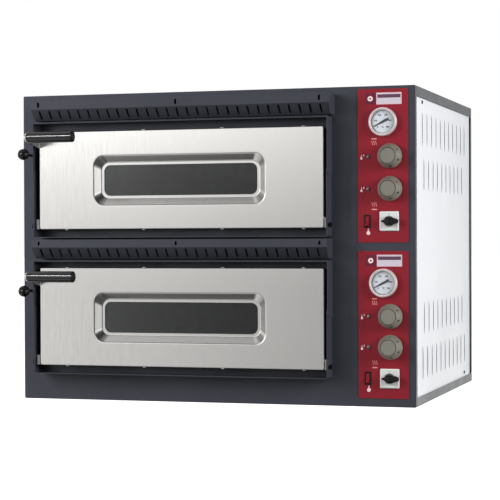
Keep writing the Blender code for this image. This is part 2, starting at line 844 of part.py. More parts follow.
# ---------------------------------------------------------------- controls
def control_panel(name, deck):
    low_z, high_z = deck["panel"]
    made = box(
        name,
        (PANEL_X[0], PANEL_FACE, low_z),
        (PANEL_X[1], PANEL_FACE + SHEET, high_z),
        RED_PAINT,
    )
    boxes, rods = control_holes(deck, 0)
    cut(made, "controls", boxes, rods)


def thermometer(name, deck):
    centre = (GAUGE_X, PANEL_FACE, deck["gauge"])
    well = 0.0285
    case = [
        (0, 0.004),
        (well, 0.004),
        (well, 0.0105),
        (0.0305, 0.0115),
        (0.0328, 0.0100),
        (0.0335, 0.0070),
        (0.0335, GAP),
        (0.0280, GAP),
        (0.0280, -0.025),
        (0, -0.025),
    ]
    turned(f"thermometer_case_{name}", case, centre, BRIGHT_STEEL)
    pane = well - GAP
    glass = [(0, 0.0092), (pane, 0.0092), (pane, 0.0078), (0, 0.0078)]
    turned(f"thermometer_glass_{name}", glass, centre, GLASS)
    needle(name, deck)


def needle(name, deck):
    """The pointer at the bottom of its scale, thin end down to the left."""
    rest = math.radians(207)
    along = Vector((math.cos(rest), math.sin(rest)))
    across = Vector((-along.y, along.x))
    middle = Vector((GAUGE_X, deck["gauge"]))
    shape = [(0.022, 0.0003), (0.0, 0.0011), (-0.011, 0.0015), (-0.011, -0.0015), (0.0, -0.0011), (0.022, -0.0003)]
    outline = [tuple(middle + along * far + across * off) for far, off in shape]
    back = -PANEL_FACE + 0.0052
    data = prism("needle", outline, back, back + 0.0008, FACE_ON)
    made = place(f"thermometer_needle_{name}", data, BLACK_PLASTIC)
    hub = ((GAUGE_X, PANEL_FACE - 0.0058, deck["gauge"]), 0.0025, 0.0022, "Y")
    join(made, "hub", [], [hub])
    pivot(f"needle_pivot_{name}", (GAUGE_X, PANEL_FACE, deck["gauge"]), made)


def thermostat_knob(name, z):
    """A tapered knob with its shaft, which passes through the panel."""
    profile = [
        (0, 0.0300),
        (0.0187, 0.0300),
        (0.0200, 0.0288),
        (0.0280, 0.0098),
        (0.0288, 0.0080),
        (0.0288, 0.0030),
        (0.0272, 0.0015),
        (0.0030, 0.0015),
        (0.0030, -0.0180),
        (0, -0.0180),
    ]
    made = turned(name, profile, (KNOB_X, PANEL_FACE, z), KNOB_PLASTIC)
    pivot(f"{name}_pivot", (KNOB_X, PANEL_FACE, z), made)


def main_switch(name, deck):
    """The cam switch: a square plate with its body behind the panel, and the handle on it."""
    z = deck["switch"]
    half = SWITCH_PLATE / 2
    front_y = PANEL_FACE - 0.004
    body = box(
        f"switch_body_{name}",
        (SWITCH_X - half, front_y, z - half),
        (SWITCH_X + half, PANEL_FACE - GAP, z + half),
        PLATE_PLASTIC,
    )
    neck_end = FRONT + 0.006
    neck = ((SWITCH_X, (front_y + neck_end) / 2 + 0.001, z), SWITCH_HOLE - 0.001, neck_end - front_y - 0.002, "Y")
    join(body, "neck", [], [neck])
    block = ((SWITCH_X - 0.022, FRONT + 0.003, z - 0.022), (SWITCH_X + 0.022, FRONT + 0.045, z + 0.022))
    join(body, "block", [block])
    boss = 0.012
    outline = [(0.0235, -0.0036), (0.0235, 0.0036)]
    outline += arc((0, 0), boss, 70, 130, 5)
    outline += [(-0.017, 0.0012), (-0.017, -0.0012)]
    outline += arc((0, 0), boss, 230, 290, 5)
    outline = [(SWITCH_X + across, z + up) for across, up in outline]
    back = -front_y + GAP
    data = prism("switch_handle", outline, back, back + 0.016, FACE_ON)
    made = place(f"switch_handle_{name}", data, BLACK_PLASTIC)
    pivot(f"switch_pivot_{name}", (SWITCH_X, PANEL_FACE, z), made)


def lamp_switch(name, deck):
    """The rocker for the chamber lamp, top edge out, in its own open housing."""
    z = deck["switch"]
    housing = box(
        f"rocker_housing_{name}",
        (ROCKER_X - 0.0075, PANEL_FACE - 0.002, z - 0.0155),
        (ROCKER_X + 0.0075, PANEL_FACE - GAP, z + 0.0155),
        BLACK_PLASTIC,
    )
    join(
        housing,
        "body",
        [((ROCKER_X - 0.0065, PANEL_FACE - 0.001, z - 0.0145), (ROCKER_X + 0.0065, FRONT + 0.020, z + 0.0145))],
    )
    cut(
        housing,
        "well",
        [((ROCKER_X - 0.0055, PANEL_FACE - 0.01, z - 0.0135), (ROCKER_X + 0.0055, FRONT + 0.008, z + 0.0135))],
    )
    half = 0.0121
    rise = 0.0016
    lift = half * math.tan(ROCKER_TILT)
    shape = [
        (0, -rise),
        (half, -rise - lift),
        (half - 0.0007, 0.0025),
        (0, 0.0050),
        (-half + 0.0007, 0.0025),
        (-half, -rise - lift),
    ]
    turn = Matrix.Rotation(ROCKER_TILT, 2)
    outline = []
    for up, back in shape:
        spun = turn @ Vector((back, up))
        outline.append((PANEL_FACE + spun.x, z + spun.y))
    data = prism("rocker", outline, ROCKER_X - 0.0050, ROCKER_X + 0.0050, SIDE_ON)
    made = place(f"rocker_{name}", data, RED_PLASTIC)
    pivot(f"rocker_pivot_{name}", (ROCKER_X, PANEL_FACE, z), made)


# ---------------------------------------------------------------- assembly
front_panel()
top_cover()
base_tray()
rear_panel()
side_panels()
cable_gland()
insulation_blanket()
for DECK_NAME, DECK in DECKS.items():
    hood(f"hood_{DECK_NAME}", DECK)
    door_surround(f"door_surround_{DECK_NAME}", DECK)
    door(DECK_NAME, DECK)
    chamber_liner(f"chamber_liner_{DECK_NAME}", DECK)
    stone_floor(f"stone_floor_{DECK_NAME}", DECK)
    BOTTOM, TOP = element_heights(DECK)
    heating_element(f"bottom_element_{DECK_NAME}", BOTTOM)
    heating_element(f"top_element_{DECK_NAME}", TOP)
    steam_vent(DECK_NAME, DECK)
    control_panel(f"control_panel_{DECK_NAME}", DECK)
    thermometer(DECK_NAME, DECK)
    thermostat_knob(f"top_heat_knob_{DECK_NAME}", DECK["knobs"][0])
    thermostat_knob(f"base_heat_knob_{DECK_NAME}", DECK["knobs"][1])
    main_switch(DECK_NAME, DECK)
    lamp_switch(DECK_NAME, DECK)
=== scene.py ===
"""The looks of the two-deck pizza oven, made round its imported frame.

Metres, +Z up, in the frame's own axes: +X is the operator's right and the doors face -Y. Places
come from the boxes of the frame's nodes. Each shape is drawn in a local frame of across, up and
out, and then set on a face of the oven.
"""

import json
import math

import bmesh
import bpy
from mathutils import Matrix, Vector


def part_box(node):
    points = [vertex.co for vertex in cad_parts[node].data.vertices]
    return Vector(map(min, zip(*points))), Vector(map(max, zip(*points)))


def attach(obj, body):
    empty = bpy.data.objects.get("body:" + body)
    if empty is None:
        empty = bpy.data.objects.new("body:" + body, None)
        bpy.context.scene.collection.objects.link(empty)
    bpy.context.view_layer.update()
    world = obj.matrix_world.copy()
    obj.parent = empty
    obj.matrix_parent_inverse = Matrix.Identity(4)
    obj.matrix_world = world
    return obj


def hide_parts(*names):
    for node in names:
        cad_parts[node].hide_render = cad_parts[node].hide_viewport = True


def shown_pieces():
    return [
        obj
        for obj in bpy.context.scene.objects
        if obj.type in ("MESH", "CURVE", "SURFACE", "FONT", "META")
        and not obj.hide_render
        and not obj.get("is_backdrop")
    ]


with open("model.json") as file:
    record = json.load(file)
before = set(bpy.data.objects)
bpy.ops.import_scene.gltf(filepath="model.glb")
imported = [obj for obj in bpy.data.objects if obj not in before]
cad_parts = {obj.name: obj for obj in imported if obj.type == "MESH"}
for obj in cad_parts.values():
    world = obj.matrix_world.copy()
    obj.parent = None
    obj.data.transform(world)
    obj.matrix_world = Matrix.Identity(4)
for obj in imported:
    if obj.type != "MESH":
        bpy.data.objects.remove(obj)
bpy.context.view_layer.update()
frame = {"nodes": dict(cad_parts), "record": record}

DECKS = ("upper", "lower")
SHEET = 0.0015
GAP = 0.0003
PRINT = 0.00012
LEFT, FRONT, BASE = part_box("front_panel")[0]
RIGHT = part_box("front_panel")[1].x
PANEL_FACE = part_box("control_panel_upper")[0].y

FACING = {
    "front": Matrix(((1, 0, 0, 0), (0, 0, -1, 0), (0, 1, 0, 0), (0, 0, 0, 1))),
    "rear": Matrix(((-1, 0, 0, 0), (0, 0, 1, 0), (0, 1, 0, 0), (0, 0, 0, 1))),
    "right": Matrix(((0, 0, 1, 0), (1, 0, 0, 0), (0, 1, 0, 0), (0, 0, 0, 1))),
    "left": Matrix(((0, 0, -1, 0), (-1, 0, 0, 0), (0, 1, 0, 0), (0, 0, 0, 1))),
    "up": Matrix.Identity(4),
    "down": Matrix(((-1, 0, 0, 0), (0, 1, 0, 0), (0, 0, -1, 0), (0, 0, 0, 1))),
}


# ---------------------------------------------------------------- flat outlines
def arc(centre, radius, start, end, steps=6):
    """Points on a circle, from one angle to another in degrees."""
    angles = [math.radians(start + (end - start) * i / steps) for i in range(steps + 1)]
    return [(centre[0] + radius * math.cos(a), centre[1] + radius * math.sin(a)) for a in angles]


def rounded_line(corners, steps=5):
    """An open line through corners of (x, y, radius), with each turn drawn as an arc."""
    points = [corners[0][:2]]
    for before, (x, y, radius), after in zip(corners, corners[1:], corners[2:]):
        if not radius:
            points.append((x, y))
            continue
        corner = Vector((x, y))
        back = (Vector(before[:2]) - corner).normalized()
        on = (Vector(after[:2]) - corner).normalized()
        half = back.angle(on) / 2
        centre = corner + (back + on).normalized() * radius / math.sin(half)
        start = corner + back * radius / math.tan(half) - centre
        end = corner + on * radius / math.tan(half) - centre
        for i in range(steps + 1):
            points.append(tuple(centre + start.lerp(end, i / steps).normalized() * radius))
    points.append(corners[-1][:2])
    return points


def rounded_loop(corners, steps=5):
    """The same line closed on itself."""
    return rounded_line([corners[-1], *corners, corners[0]], steps)[1:-1]


def rectangle(half_u, half_v, radius, middle=(0, 0), steps=6):
    """A rectangle with round corners."""
    points = []
    for corner, (side_u, side_v) in enumerate(((1, 1), (-1, 1), (-1, -1), (1, -1))):
        centre = (middle[0] + side_u * (half_u - radius), middle[1] + side_v * (half_v - radius))
        points += arc(centre, radius, 90 * corner, 90 * (corner + 1), steps)
    return points


# ---------------------------------------------------------------- solid shapes
def loft(rings, caps=(True, True)):
    """Skins rings of points that have the same count, with a face over each end that is asked for."""
    shape = bmesh.new()
    loops = [[shape.verts.new(point) for point in ring] for ring in rings]
    for near, far in zip(loops, loops[1:]):
        for i in range(len(near)):
            j = (i + 1) % len(near)
            shape.faces.new((near[i], near[j], far[j], far[i]))
    if caps[0]:
        shape.faces.new(reversed(loops[0]))
    if caps[1]:
        shape.faces.new(loops[-1])
    return shape


def extruded(outline, low, high):
    return loft([[(u, v, w) for u, v in outline] for w in (low, high)])


def turned(profile, steps=56):
    """A profile of (radius, out) turned all the way round the third axis."""
    shape = bmesh.new()
    points = [shape.verts.new((radius, 0, out)) for radius, out in profile]
    edges = [shape.edges.new(pair) for pair in zip(points, points[1:])]
    geometry = points + edges
    bmesh.ops.spin(shape, geom=geometry, axis=(0, 0, 1), angle=math.tau, steps=steps, use_merge=True)
    bmesh.ops.remove_doubles(shape, verts=shape.verts, dist=1e-7)
    bmesh.ops.recalc_face_normals(shape, faces=shape.faces)
    return shape


def disc(radius, low, high, edge=0.0, steps=40):
    """A short round bar with its edges eased."""
    ease = edge or (high - low) * 0.05
    profile = [(0, high, 0), (radius, high, ease), (radius, low, ease), (0, low, 0)]
    return turned(rounded_line(profile, 3), steps)


def round_edges(shape, width, segments=3, angle=35):
    edges = [e for e in shape.edges if len(e.link_faces) == 2 and e.calc_face_angle() > math.radians(angle)]
    bmesh.ops.bevel(
        shape, geom=edges, offset=width, segments=segments, profile=0.5, affect="EDGES", clamp_overlap=True
    )
    return shape


def block(low, high, edge=0.0004):
    low, high = Vector(low), Vector(high)
    half = (high - low) / 2
    shape = bmesh.new()
    matrix = Matrix.Translation((low + high) / 2) @ Matrix.Diagonal((*(2 * half), 1))
    bmesh.ops.create_cube(shape, size=1, matrix=matrix)
    return round_edges(shape, edge) if edge else shape


def placed(shape, matrix):
    bmesh.ops.transform(shape, matrix=matrix, verts=shape.verts)
    return shape


def plate(half_u, half_v, corner, low, high, edge, segments=2, steps=6):
    """A flat sheet with round corners and eased edges."""
    outline = rectangle(half_u, half_v, corner, steps=steps)
    return round_edges(extruded(outline, low, high), edge, segments)


def facing_out(shape):
    bmesh.ops.recalc_face_normals(shape, faces=shape.faces)
    return shape


def upright(outline, near, far):
    """An outline given as (y, z), extruded sideways from one x to another."""
    return facing_out(loft([[(x, y, z) for y, z in outline] for x in (near, far)]))


def stacked(half_u, half_v, corner, layers, steps):
    """Rings of one rounded rectangle, each drawn in by an inset at its own height."""
    return [
        [(u, v, height) for u, v in rectangle(half_u - inset, half_v - inset, corner, steps=steps)]
        for inset, height in layers
    ]


def joined(shapes):
    whole = bmesh.new()
    for shape in shapes:
        data = bpy.data.meshes.new("part")
        shape.to_mesh(data)
        shape.free()
        whole.from_mesh(data)
        bpy.data.meshes.remove(data)
    return whole


def turn(degrees):
    """A turn about the outward axis."""
    return Matrix.Rotation(math.radians(degrees), 4, "Z")


def spot(side, place):
    """Where a shape drawn as across, up and out sits when it faces a side of the oven."""
    return Matrix.Translation(place) @ FACING[side]


def lettering(text, height, thickness=PRINT, bold=0.0):
    """Digits as a thin solid, centred on the origin."""
    curve = bpy.data.curves.new("digits", "FONT")
    curve.body = text
    curve.size = height
    curve.align_x = "CENTER"
    curve.align_y = "CENTER"
    curve.extrude = thickness / 2
    curve.resolution_u = 3
    curve.offset = bold
    holder = bpy.data.objects.new("digits", curve)
    bpy.context.scene.collection.objects.link(holder)
    bpy.context.view_layer.update()
    data = bpy.data.meshes.new_from_object(holder.evaluated_get(bpy.context.evaluated_depsgraph_get()))
    shape = bmesh.new()
    shape.from_mesh(data)
    bmesh.ops.remove_doubles(shape, verts=shape.verts, dist=1e-7)
    bpy.data.objects.remove(holder)
    bpy.data.meshes.remove(data)
    return shape


# ---------------------------------------------------------------- pieces
def piece(name, shape, slot, body="casing", stands_for=(), finish=None, smooth=32):
    """Makes a shape an object that rides on a body and takes its finish from a slot of the record."""
    data = bpy.data.meshes.new(name)
    shape.to_mesh(data)
    shape.free()
    data.shade_smooth()
    data.set_sharp_from_angle(angle=math.radians(smooth))
    data.materials.append(finish or FINISHES[slot])
    made = bpy.data.objects.new(name, data)
    bpy.context.scene.collection.objects.link(made)
    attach(made, body)
    if stands_for:
        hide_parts(*stands_for)
    return made


def settle(made, smooth=32):
    """Writes the modifiers' result into the mesh."""
    bpy.context.view_layer.update()
    graph = bpy.context.evaluated_depsgraph_get()
    data = bpy.data.meshes.new_from_object(made.evaluated_get(graph))
    made.modifiers.clear()
    made.data = data
    data.shade_smooth()
    data.set_sharp_from_angle(angle=math.radians(smooth))


def thicken(made, thickness=SHEET, even=True, smooth=32):
    """Gives a surface its sheet, on the side away from its faces."""
    step = made.modifiers.new("thickness", "SOLIDIFY")
    step.thickness = thickness
    step.offset = -1
    step.use_even_offset = even
    settle(made, smooth)
    return made


def carve(made, cutters):
    """Cuts shapes out of a piece."""
    data = bpy.data.meshes.new("cutter")
    cutter = joined(cutters)
    cutter.to_mesh(data)
    cutter.free()
    tool = bpy.data.objects.new("cutter", data)
    bpy.context.scene.collection.objects.link(tool)
    step = made.modifiers.new("cut", "BOOLEAN")
    step.operation = "DIFFERENCE"
    step.object = tool
    settle(made)
    bpy.data.objects.remove(tool)
    return made


def middle_of(node):
    low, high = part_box(node)
    return (low + high) / 2


def half_size(node):
    """Half the width and half the height of a node's box."""
    low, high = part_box(node)
    return (high.x - low.x) / 2, (high.z - low.z) / 2


def on_panel(node):
    """The frame of a control: its own middle, on the face of the control panels."""
    centre = middle_of(node)
    return spot("front", (centre.x, PANEL_FACE, centre.z))


def on_front(node):
    """The frame of a sheet that faces the front: its own middle, on its foremost face."""
    centre = middle_of(node)
    return spot("front", (centre.x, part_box(node)[0].y, centre.z))


# ---------------------------------------------------------------- finishes
class Finish:
    """A material in the making, with short ways to add the nodes that its pattern needs."""

    def __init__(self, name, colour, roughness, metallic=0.0):
        self.material = bpy.data.materials.new(name)
        self.material.use_nodes = True
        self.material.diffuse_color = (*colour, 1)
        self.nodes = self.material.node_tree.nodes
        self.links = self.material.node_tree.links
        self.surface = self.nodes["Principled BSDF"]
        self.colour = self.value("ShaderNodeRGB", (*colour, 1))
        self.set("Base Color", self.colour)
        self.set("Roughness", roughness)
        self.set("Metallic", metallic)

    def value(self, kind, default):
        node = self.nodes.new(kind)
        node.outputs[0].default_value = default
        return node.outputs[0]

    def set(self, name, source, node=None):
        socket = (node or self.surface).inputs[name]
        if isinstance(source, bpy.types.NodeSocket):
            self.links.new(source, socket)
        else:
            socket.default_value = source

    def pattern(self, kind, scale, stretch=(1, 1, 1), **settings):
        """A texture in the piece's own metres, scale waves to the metre before the stretch."""
        place = self.nodes.new("ShaderNodeTexCoord")
        mapping = self.nodes.new("ShaderNodeMapping")
        mapping.inputs["Scale"].default_value = stretch
        texture = self.nodes.new(kind)
        self.links.new(place.outputs["Object"], mapping.inputs["Vector"])
        self.links.new(mapping.outputs["Vector"], texture.inputs["Vector"])
        texture.inputs["Scale"].default_value = scale
        for name, setting in settings.items():
            texture.inputs[name.replace("_", " ")].default_value = setting
        return texture

    def noise(self, scale, stretch=(1, 1, 1), detail=3.0):
        return self.pattern("ShaderNodeTexNoise", scale, stretch, Detail=detail).outputs["Fac"]

    def between(self, value, low, high, from_low=0.3, from_high=0.7):
        node = self.nodes.new("ShaderNodeMapRange")
        self.set("Value", value, node)
        ends = {"From Min": from_low, "From Max": from_high, "To Min": low, "To Max": high}
        for name, number in ends.items():
            node.inputs[name].default_value = number
        return node.outputs["Result"]

    def mixed(self, factor, first, second):
        node = self.nodes.new("ShaderNodeMix")
        node.data_type = "RGBA"
        sockets = (node.inputs[0], node.inputs[6], node.inputs[7])
        for socket, source in zip(sockets, (factor, first, second)):
            if isinstance(source, bpy.types.NodeSocket):
                self.links.new(source, socket)
            else:
                socket.default_value = source
        return node.outputs[2]

    def tint(self, factor, colour):
        """Moves the colour towards another where the factor is high."""
        self.colour = self.mixed(factor, self.colour, (*colour, 1))
        self.set("Base Color", self.colour)

    def bump(self, height, depth, strength=1.0):
        node = self.nodes.new("ShaderNodeBump")
        node.inputs["Distance"].default_value = depth
        node.inputs["Strength"].default_value = strength
        self.set("Height", height, node)
        if self.surface.inputs["Normal"].is_linked:
            self.links.new(self.surface.inputs["Normal"].links[0].from_socket, node.inputs["Normal"])
        self.set("Normal", node.outputs["Normal"])

    def edges(self, radius):
        """High where the surface turns within a radius, as on a fold."""
        bevel = self.nodes.new("ShaderNodeBevel")
        bevel.samples = 4
        bevel.inputs["Radius"].default_value = radius
        geometry = self.nodes.new("ShaderNodeNewGeometry")
        dot = self.nodes.new("ShaderNodeVectorMath")
        dot.operation = "DOT_PRODUCT"
        self.links.new(bevel.outputs["Normal"], dot.inputs[0])
        self.links.new(geometry.outputs["Normal"], dot.inputs[1])
        return self.between(dot.outputs["Value"], 1.0, 0.0, 0.80, 0.995)


def powder_coat(name, colour, worn, roughness, grain=0.00006):
    """Baked powder: a fine orange-peel surface, faint clouding, and a paler line along the folds."""
    made = Finish(name, colour, roughness)
    made.tint(made.between(made.noise(3.0, detail=4), 0.0, 0.35), [c * 0.78 for c in colour])
    made.tint(made.between(made.noise(420.0), 0.0, 0.30), [min(1, c * 1.25) for c in colour])
    made.set("Specular IOR Level", 0.35)
    rubbed = made.nodes.new("ShaderNodeMath")
    rubbed.operation = "MULTIPLY"
    made.links.new(made.edges(0.0012), rubbed.inputs[0])
    made.links.new(made.between(made.noise(60.0, detail=5), 0.1, 0.7), rubbed.inputs[1])
    made.tint(rubbed.outputs[0], worn)
    made.set("Roughness", made.between(made.noise(9.0, detail=5), roughness - 0.06, roughness + 0.08))
    made.bump(made.noise(900.0, detail=2), grain)
    return made.material


def brushed(name, colour, roughness):
    """Steel with fine upright scratches, which blur what it mirrors across them."""
    upright = (1, 1, 0.012)
    made = Finish(name, colour, roughness, 1.0)
    scratches = made.noise(2600.0, upright, detail=4)
    streaks = made.noise(300.0, upright, detail=5)
    made.tint(made.between(streaks, 0.0, 0.30), [c * 0.93 for c in colour])
    made.tint(made.between(made.noise(2.2, detail=3), 0.0, 0.10), [c * 0.85 for c in colour])
    made.set("Roughness", made.between(scratches, roughness - 0.05, roughness + 0.07))
    made.bump(scratches, 0.00003, 0.05)
    across = made.nodes.new("ShaderNodeCombineXYZ")
    across.inputs["X"].default_value = 1.0
    made.set("Anisotropic", 0.95)
    made.set("Tangent", across.outputs[0])
    return made.material


def polished(name, colour, roughness, metallic=1.0):
    """Smooth metal, or a bright lacquer where it is only partly metallic, with uneven gloss."""
    made = Finish(name, colour, roughness, metallic)
    made.set("Roughness", made.between(made.noise(140.0, detail=4), roughness - 0.04, roughness + 0.08))
    made.bump(made.noise(1500.0, (1, 1, 0.1)), 0.000003)
    return made.material


def galvanised():
    """Aluminised sheet: pale crystals with dull patches where it has been hot."""
    made = Finish("galvanised_steel", (0.42, 0.43, 0.44), 0.42, 0.9)
    crystals = made.pattern("ShaderNodeTexVoronoi", 55.0)
    tone = made.nodes.new("ShaderNodeRGBToBW")
    made.links.new(crystals.outputs["Color"], tone.inputs[0])
    shade = made.between(tone.outputs[0], 0.0, 1.0, 0.2, 0.8)
    made.colour = made.mixed(shade, (0.36, 0.37, 0.38, 1), (0.52, 0.53, 0.54, 1))
    made.tint(made.between(made.noise(5.0, detail=5), 0.0, 0.6), (0.20, 0.17, 0.13))
    made.set("Roughness", made.between(tone.outputs[0], 0.34, 0.52, 0.2, 0.8))
    made.bump(made.noise(240.0), 0.00008)
    return made.material


def element_steel():
    made = Finish("element_steel", (0.085, 0.080, 0.078), 0.5, 0.8)
    made.tint(made.between(made.noise(35.0, detail=5), 0.0, 0.7), (0.16, 0.12, 0.10))
    made.set("Roughness", made.between(made.noise(300.0), 0.40, 0.65))
    made.bump(made.noise(1100.0), 0.00006)
    return made.material


def stone():
    """Fired cordierite: sandy grains, darker specks and a little browning."""
    made = Finish("refractory_stone", (0.52, 0.44, 0.33), 0.88)
    specks = made.pattern("ShaderNodeTexVoronoi", 330.0).outputs["Distance"]
    made.tint(made.between(specks, 0.55, 0.0, 0.0, 0.35), (0.30, 0.24, 0.17))
    made.tint(made.between(made.noise(6.0, detail=6), 0.0, 0.7), (0.34, 0.24, 0.15))
    made.tint(made.between(made.noise(700.0), 0.0, 0.5), (0.66, 0.60, 0.50))
    made.bump(made.noise(600.0, detail=5), 0.0005)
    return made.material


def wool():
    made = Finish("mineral_wool", (0.50, 0.44, 0.26), 0.95)
    fibres = made.noise(240.0, (1, 0.12, 1), detail=6)
    made.tint(made.between(fibres, 0.0, 0.8), (0.70, 0.64, 0.45))
    made.bump(fibres, 0.002)
    return made.material


def oven_glass():
    """Tinted heat-resistant glass with a faint baked-on haze."""
    made = Finish("oven_glass", (0.24, 0.27, 0.26), 0.02)
    made.set("Transmission Weight", 1.0)
    made.set("IOR", 1.58)
    made.set("Roughness", made.between(made.noise(30.0, detail=5), 0.02, 0.09))
    made.tint(made.between(made.noise(7.0, detail=5), 0.0, 0.4), (0.19, 0.20, 0.17))
    return made.material


def clear_glass():
    """A flat pane that is nearly all see-through, with a little of its own sheen."""
    made = Finish("clear_glass", (0.75, 0.80, 0.84), 0.02)
    made.set("Alpha", made.between(made.noise(60.0, detail=4), 0.03, 0.06))
    return made.material


def moulded(name, colour, roughness, grain=700.0, depth=0.00003):
    """Moulded plastic with a fine texture and handling marks in its gloss."""
    made = Finish(name, colour, roughness)
    made.tint(made.between(made.noise(25.0, detail=4), 0.0, 0.30), [c * 0.75 for c in colour])
    made.tint(made.between(made.noise(900.0), 0.0, 0.18), [min(1, c * 1.3 + 0.004) for c in colour])
    made.set("Roughness", made.between(made.noise(70.0, detail=5), roughness - 0.04, roughness + 0.09))
    made.bump(made.noise(grain), depth)
    return made.material


def red_plastic():
    made = Finish("red_plastic", (0.34, 0.010, 0.018), 0.16)
    made.set("Transmission Weight", 0.25)
    made.set("Subsurface Weight", 0.2)
    made.set("Subsurface Scale", 0.002)
    made.tint(made.between(made.noise(180.0), 0.0, 0.3), (0.30, 0.005, 0.01))
    made.set("Roughness", made.between(made.noise(90.0, detail=4), 0.12, 0.24))
    return made.material


def enamel():
    """The dial's stove enamel, a cool white with the faintest mottling."""
    made = Finish("dial_enamel", (0.70, 0.74, 0.79), 0.35)
    made.tint(made.between(made.noise(260.0), 0.0, 0.35), (0.64, 0.68, 0.72))
    made.bump(made.noise(1200.0), 0.00001)
    return made.material


def ink(name, colour):
    """Screen-printed ink, a little uneven in its cover."""
    made = Finish(name, colour, 0.45)
    made.tint(made.between(made.noise(1600.0), 0.0, 0.35), [c * 0.8 for c in colour])
    made.bump(made.noise(2400.0), 0.00001)
    return made.material


FINISHES = {
    "slate_paint": powder_coat("slate_paint", (0.044, 0.0465, 0.060), (0.12, 0.125, 0.145), 0.40),
    "cover_paint": powder_coat("cover_paint", (0.056, 0.061, 0.068), (0.16, 0.17, 0.185), 0.45),
    "white_paint": powder_coat("white_paint", (0.80, 0.82, 0.85), (0.90, 0.91, 0.93), 0.42),
    "red_paint": powder_coat("red_paint", (0.250, 0.013, 0.024), (0.34, 0.07, 0.09), 0.40, 0.00003),
    "brushed_stainless": brushed("brushed_stainless", (0.70, 0.69, 0.67), 0.19),
    "bright_steel": polished("bright_steel", (0.76, 0.75, 0.74), 0.24),
    "galvanised_steel": galvanised(),
    "element_steel": element_steel(),
    "refractory_stone": stone(),
    "mineral_wool": wool(),
    "oven_glass": oven_glass(),
    "clear_glass": clear_glass(),
    "black_plastic": moulded("black_plastic", (0.005, 0.005, 0.005), 0.08, 400.0, 0.00001),
    "knob_plastic": moulded("knob_plastic", (0.190, 0.185, 0.155), 0.42),
    "plate_plastic": moulded("plate_plastic", (0.74, 0.77, 0.75), 0.38),
    "red_plastic": red_plastic(),
}
# The cover's paint made lighter for the base tray: painted light, standing in for light bounced up from the
# floor onto its sides.
FLOOR_LIT_TRAY_PAINT = powder_coat("tray_paint", (0.082, 0.092, 0.094), (0.18, 0.19, 0.20), 0.45)
ENAMEL = enamel()
DARK_INK = ink("dark_ink", (0.018, 0.020, 0.022))
WHITE_INK = ink("white_ink", (0.95, 0.76, 0.73))
PINK_INK = ink("pink_ink", (0.82, 0.33, 0.31))
LABEL_METAL = polished("label_metal", (0.70, 0.63, 0.71), 0.42, 0.2)
LABEL_RIM = ink("label_rim", (0.80, 0.55, 0.60))
# Steel for the gauge's bezel, tinted pink: a painted reflection of the red panel round it.
BEZEL_METAL_PAINTED_REFLECTION = polished("bezel_metal", (0.92, 0.83, 0.82), 0.34, 0.5)
NEEDLE_PAINT = ink("needle_paint", (0.003, 0.003, 0.004))
MAROON_INK = ink("maroon_ink", (0.130, 0.010, 0.030))
PLUM_INK = ink("plum_ink", (0.120, 0.048, 0.090))
SMOKED_LENS = moulded("smoked_lens", (0.32, 0.23, 0.24), 0.30)
BLACKED_STEEL = polished("blacked_steel", (0.022, 0.022, 0.024), 0.38)
COLLAR_METAL = polished("collar_metal", (0.13, 0.09, 0.10), 0.40, 0.3)
DULL_ZINC = polished("dull_zinc", (0.36, 0.36, 0.35), 0.45)


def paint_frame():
    """Gives each node of the frame the finish of its slot."""
    for subpart in frame["record"]["subparts"]:
        data = frame["nodes"][subpart["node"]].data
        data.materials.clear()
        data.materials.append(FINISHES[subpart["material_slot"]])


# ---------------------------------------------------------------- folded sheet
def pan(box, side, fold, corner):
    """An open box of sheet whose face is on one side, with rounded folds, as a surface to thicken."""
    low, high = box
    matrix = spot(side, (low + high) / 2)
    turned_half = FACING[side].to_3x3().transposed() @ ((high - low) / 2)
    half_u, half_v, half_w = (abs(value) for value in turned_half)
    rings = [(0, -half_w)] + [(x, y) for x, y in arc((fold, half_w - fold), fold, 180, 90, 5)]
    loops = []
    for inset, out in rings:
        radius = max(corner - inset, 0.00005)
        loops.append([(u, v, out) for u, v in rectangle(half_u - inset, half_v - inset, radius, steps=5)])
    return placed(loft(loops, (False, True)), matrix)


def slot_cutter(half_u, half_v, depth, middle=(0, 0)):
    """A slot with round ends, as a cutter that runs through a face."""
    radius = min(half_u, half_v) * 0.98
    return extruded(rectangle(half_u, half_v, radius, middle, steps=5), -depth, depth)


def hole_cutter(radius, depth):
    return extruded(arc((0, 0), radius, 0, 360, 28)[:-1], -depth, depth)


# ---------------------------------------------------------------- screws
def screw(radius, height):
    """A pan head with a cross recess."""
    profile = [(0, height, 0), (radius * 0.62, height * 0.96, radius * 0.35)]
    profile += [(radius, height * 0.35, radius * 0.2), (radius, 0, 0), (0, 0, 0)]
    head = turned(rounded_line(profile, 3), 24)
    made = piece("screw", head, "bright_steel")
    arm, width = radius * 0.52, radius * 0.13
    for half_u, half_v in ((arm, width), (width, arm)):
        carve(made, [block((-half_u, -half_v, height * 0.45), (half_u, half_v, height * 2), 0)])
    data = made.data.copy()
    bpy.data.objects.remove(made)
    return data


PAN_SCREW = screw(0.0045, 0.0026)
TALL_SCREW = screw(0.0046, 0.0040)
SMALL_SCREW = screw(0.0030, 0.0018)
SCREW_TURN = 37


def screws(name, data, places, side, body="casing", finish=None):
    """One piece of several screws, each turned a little differently."""
    heads = []
    for i, place in enumerate(places):
        shape = bmesh.new()
        shape.from_mesh(data)
        heads.append(placed(shape, spot(side, place) @ turn(SCREW_TURN * i)))
    return piece(name, joined(heads), "bright_steel", body, finish=finish)


# ---------------------------------------------------------------- casing
FOLD = 0.0022
PANEL_CORNER = 0.0035
COVER_CORNER = 0.003
THROUGH = 0.01
VENT_HOLE = 0.0048
MOUTH_SIDE = 0.006
MOUTH_FLOOR = 0.007
MOUTH_ROOF = 0.002
LAMP_RIGHT_OF_ROCKER = 0.0017
LAMP_HOLE = 0.0052
LAMP_BELOW_KNOB = {"top": 0.0010, "base": 0.0002}


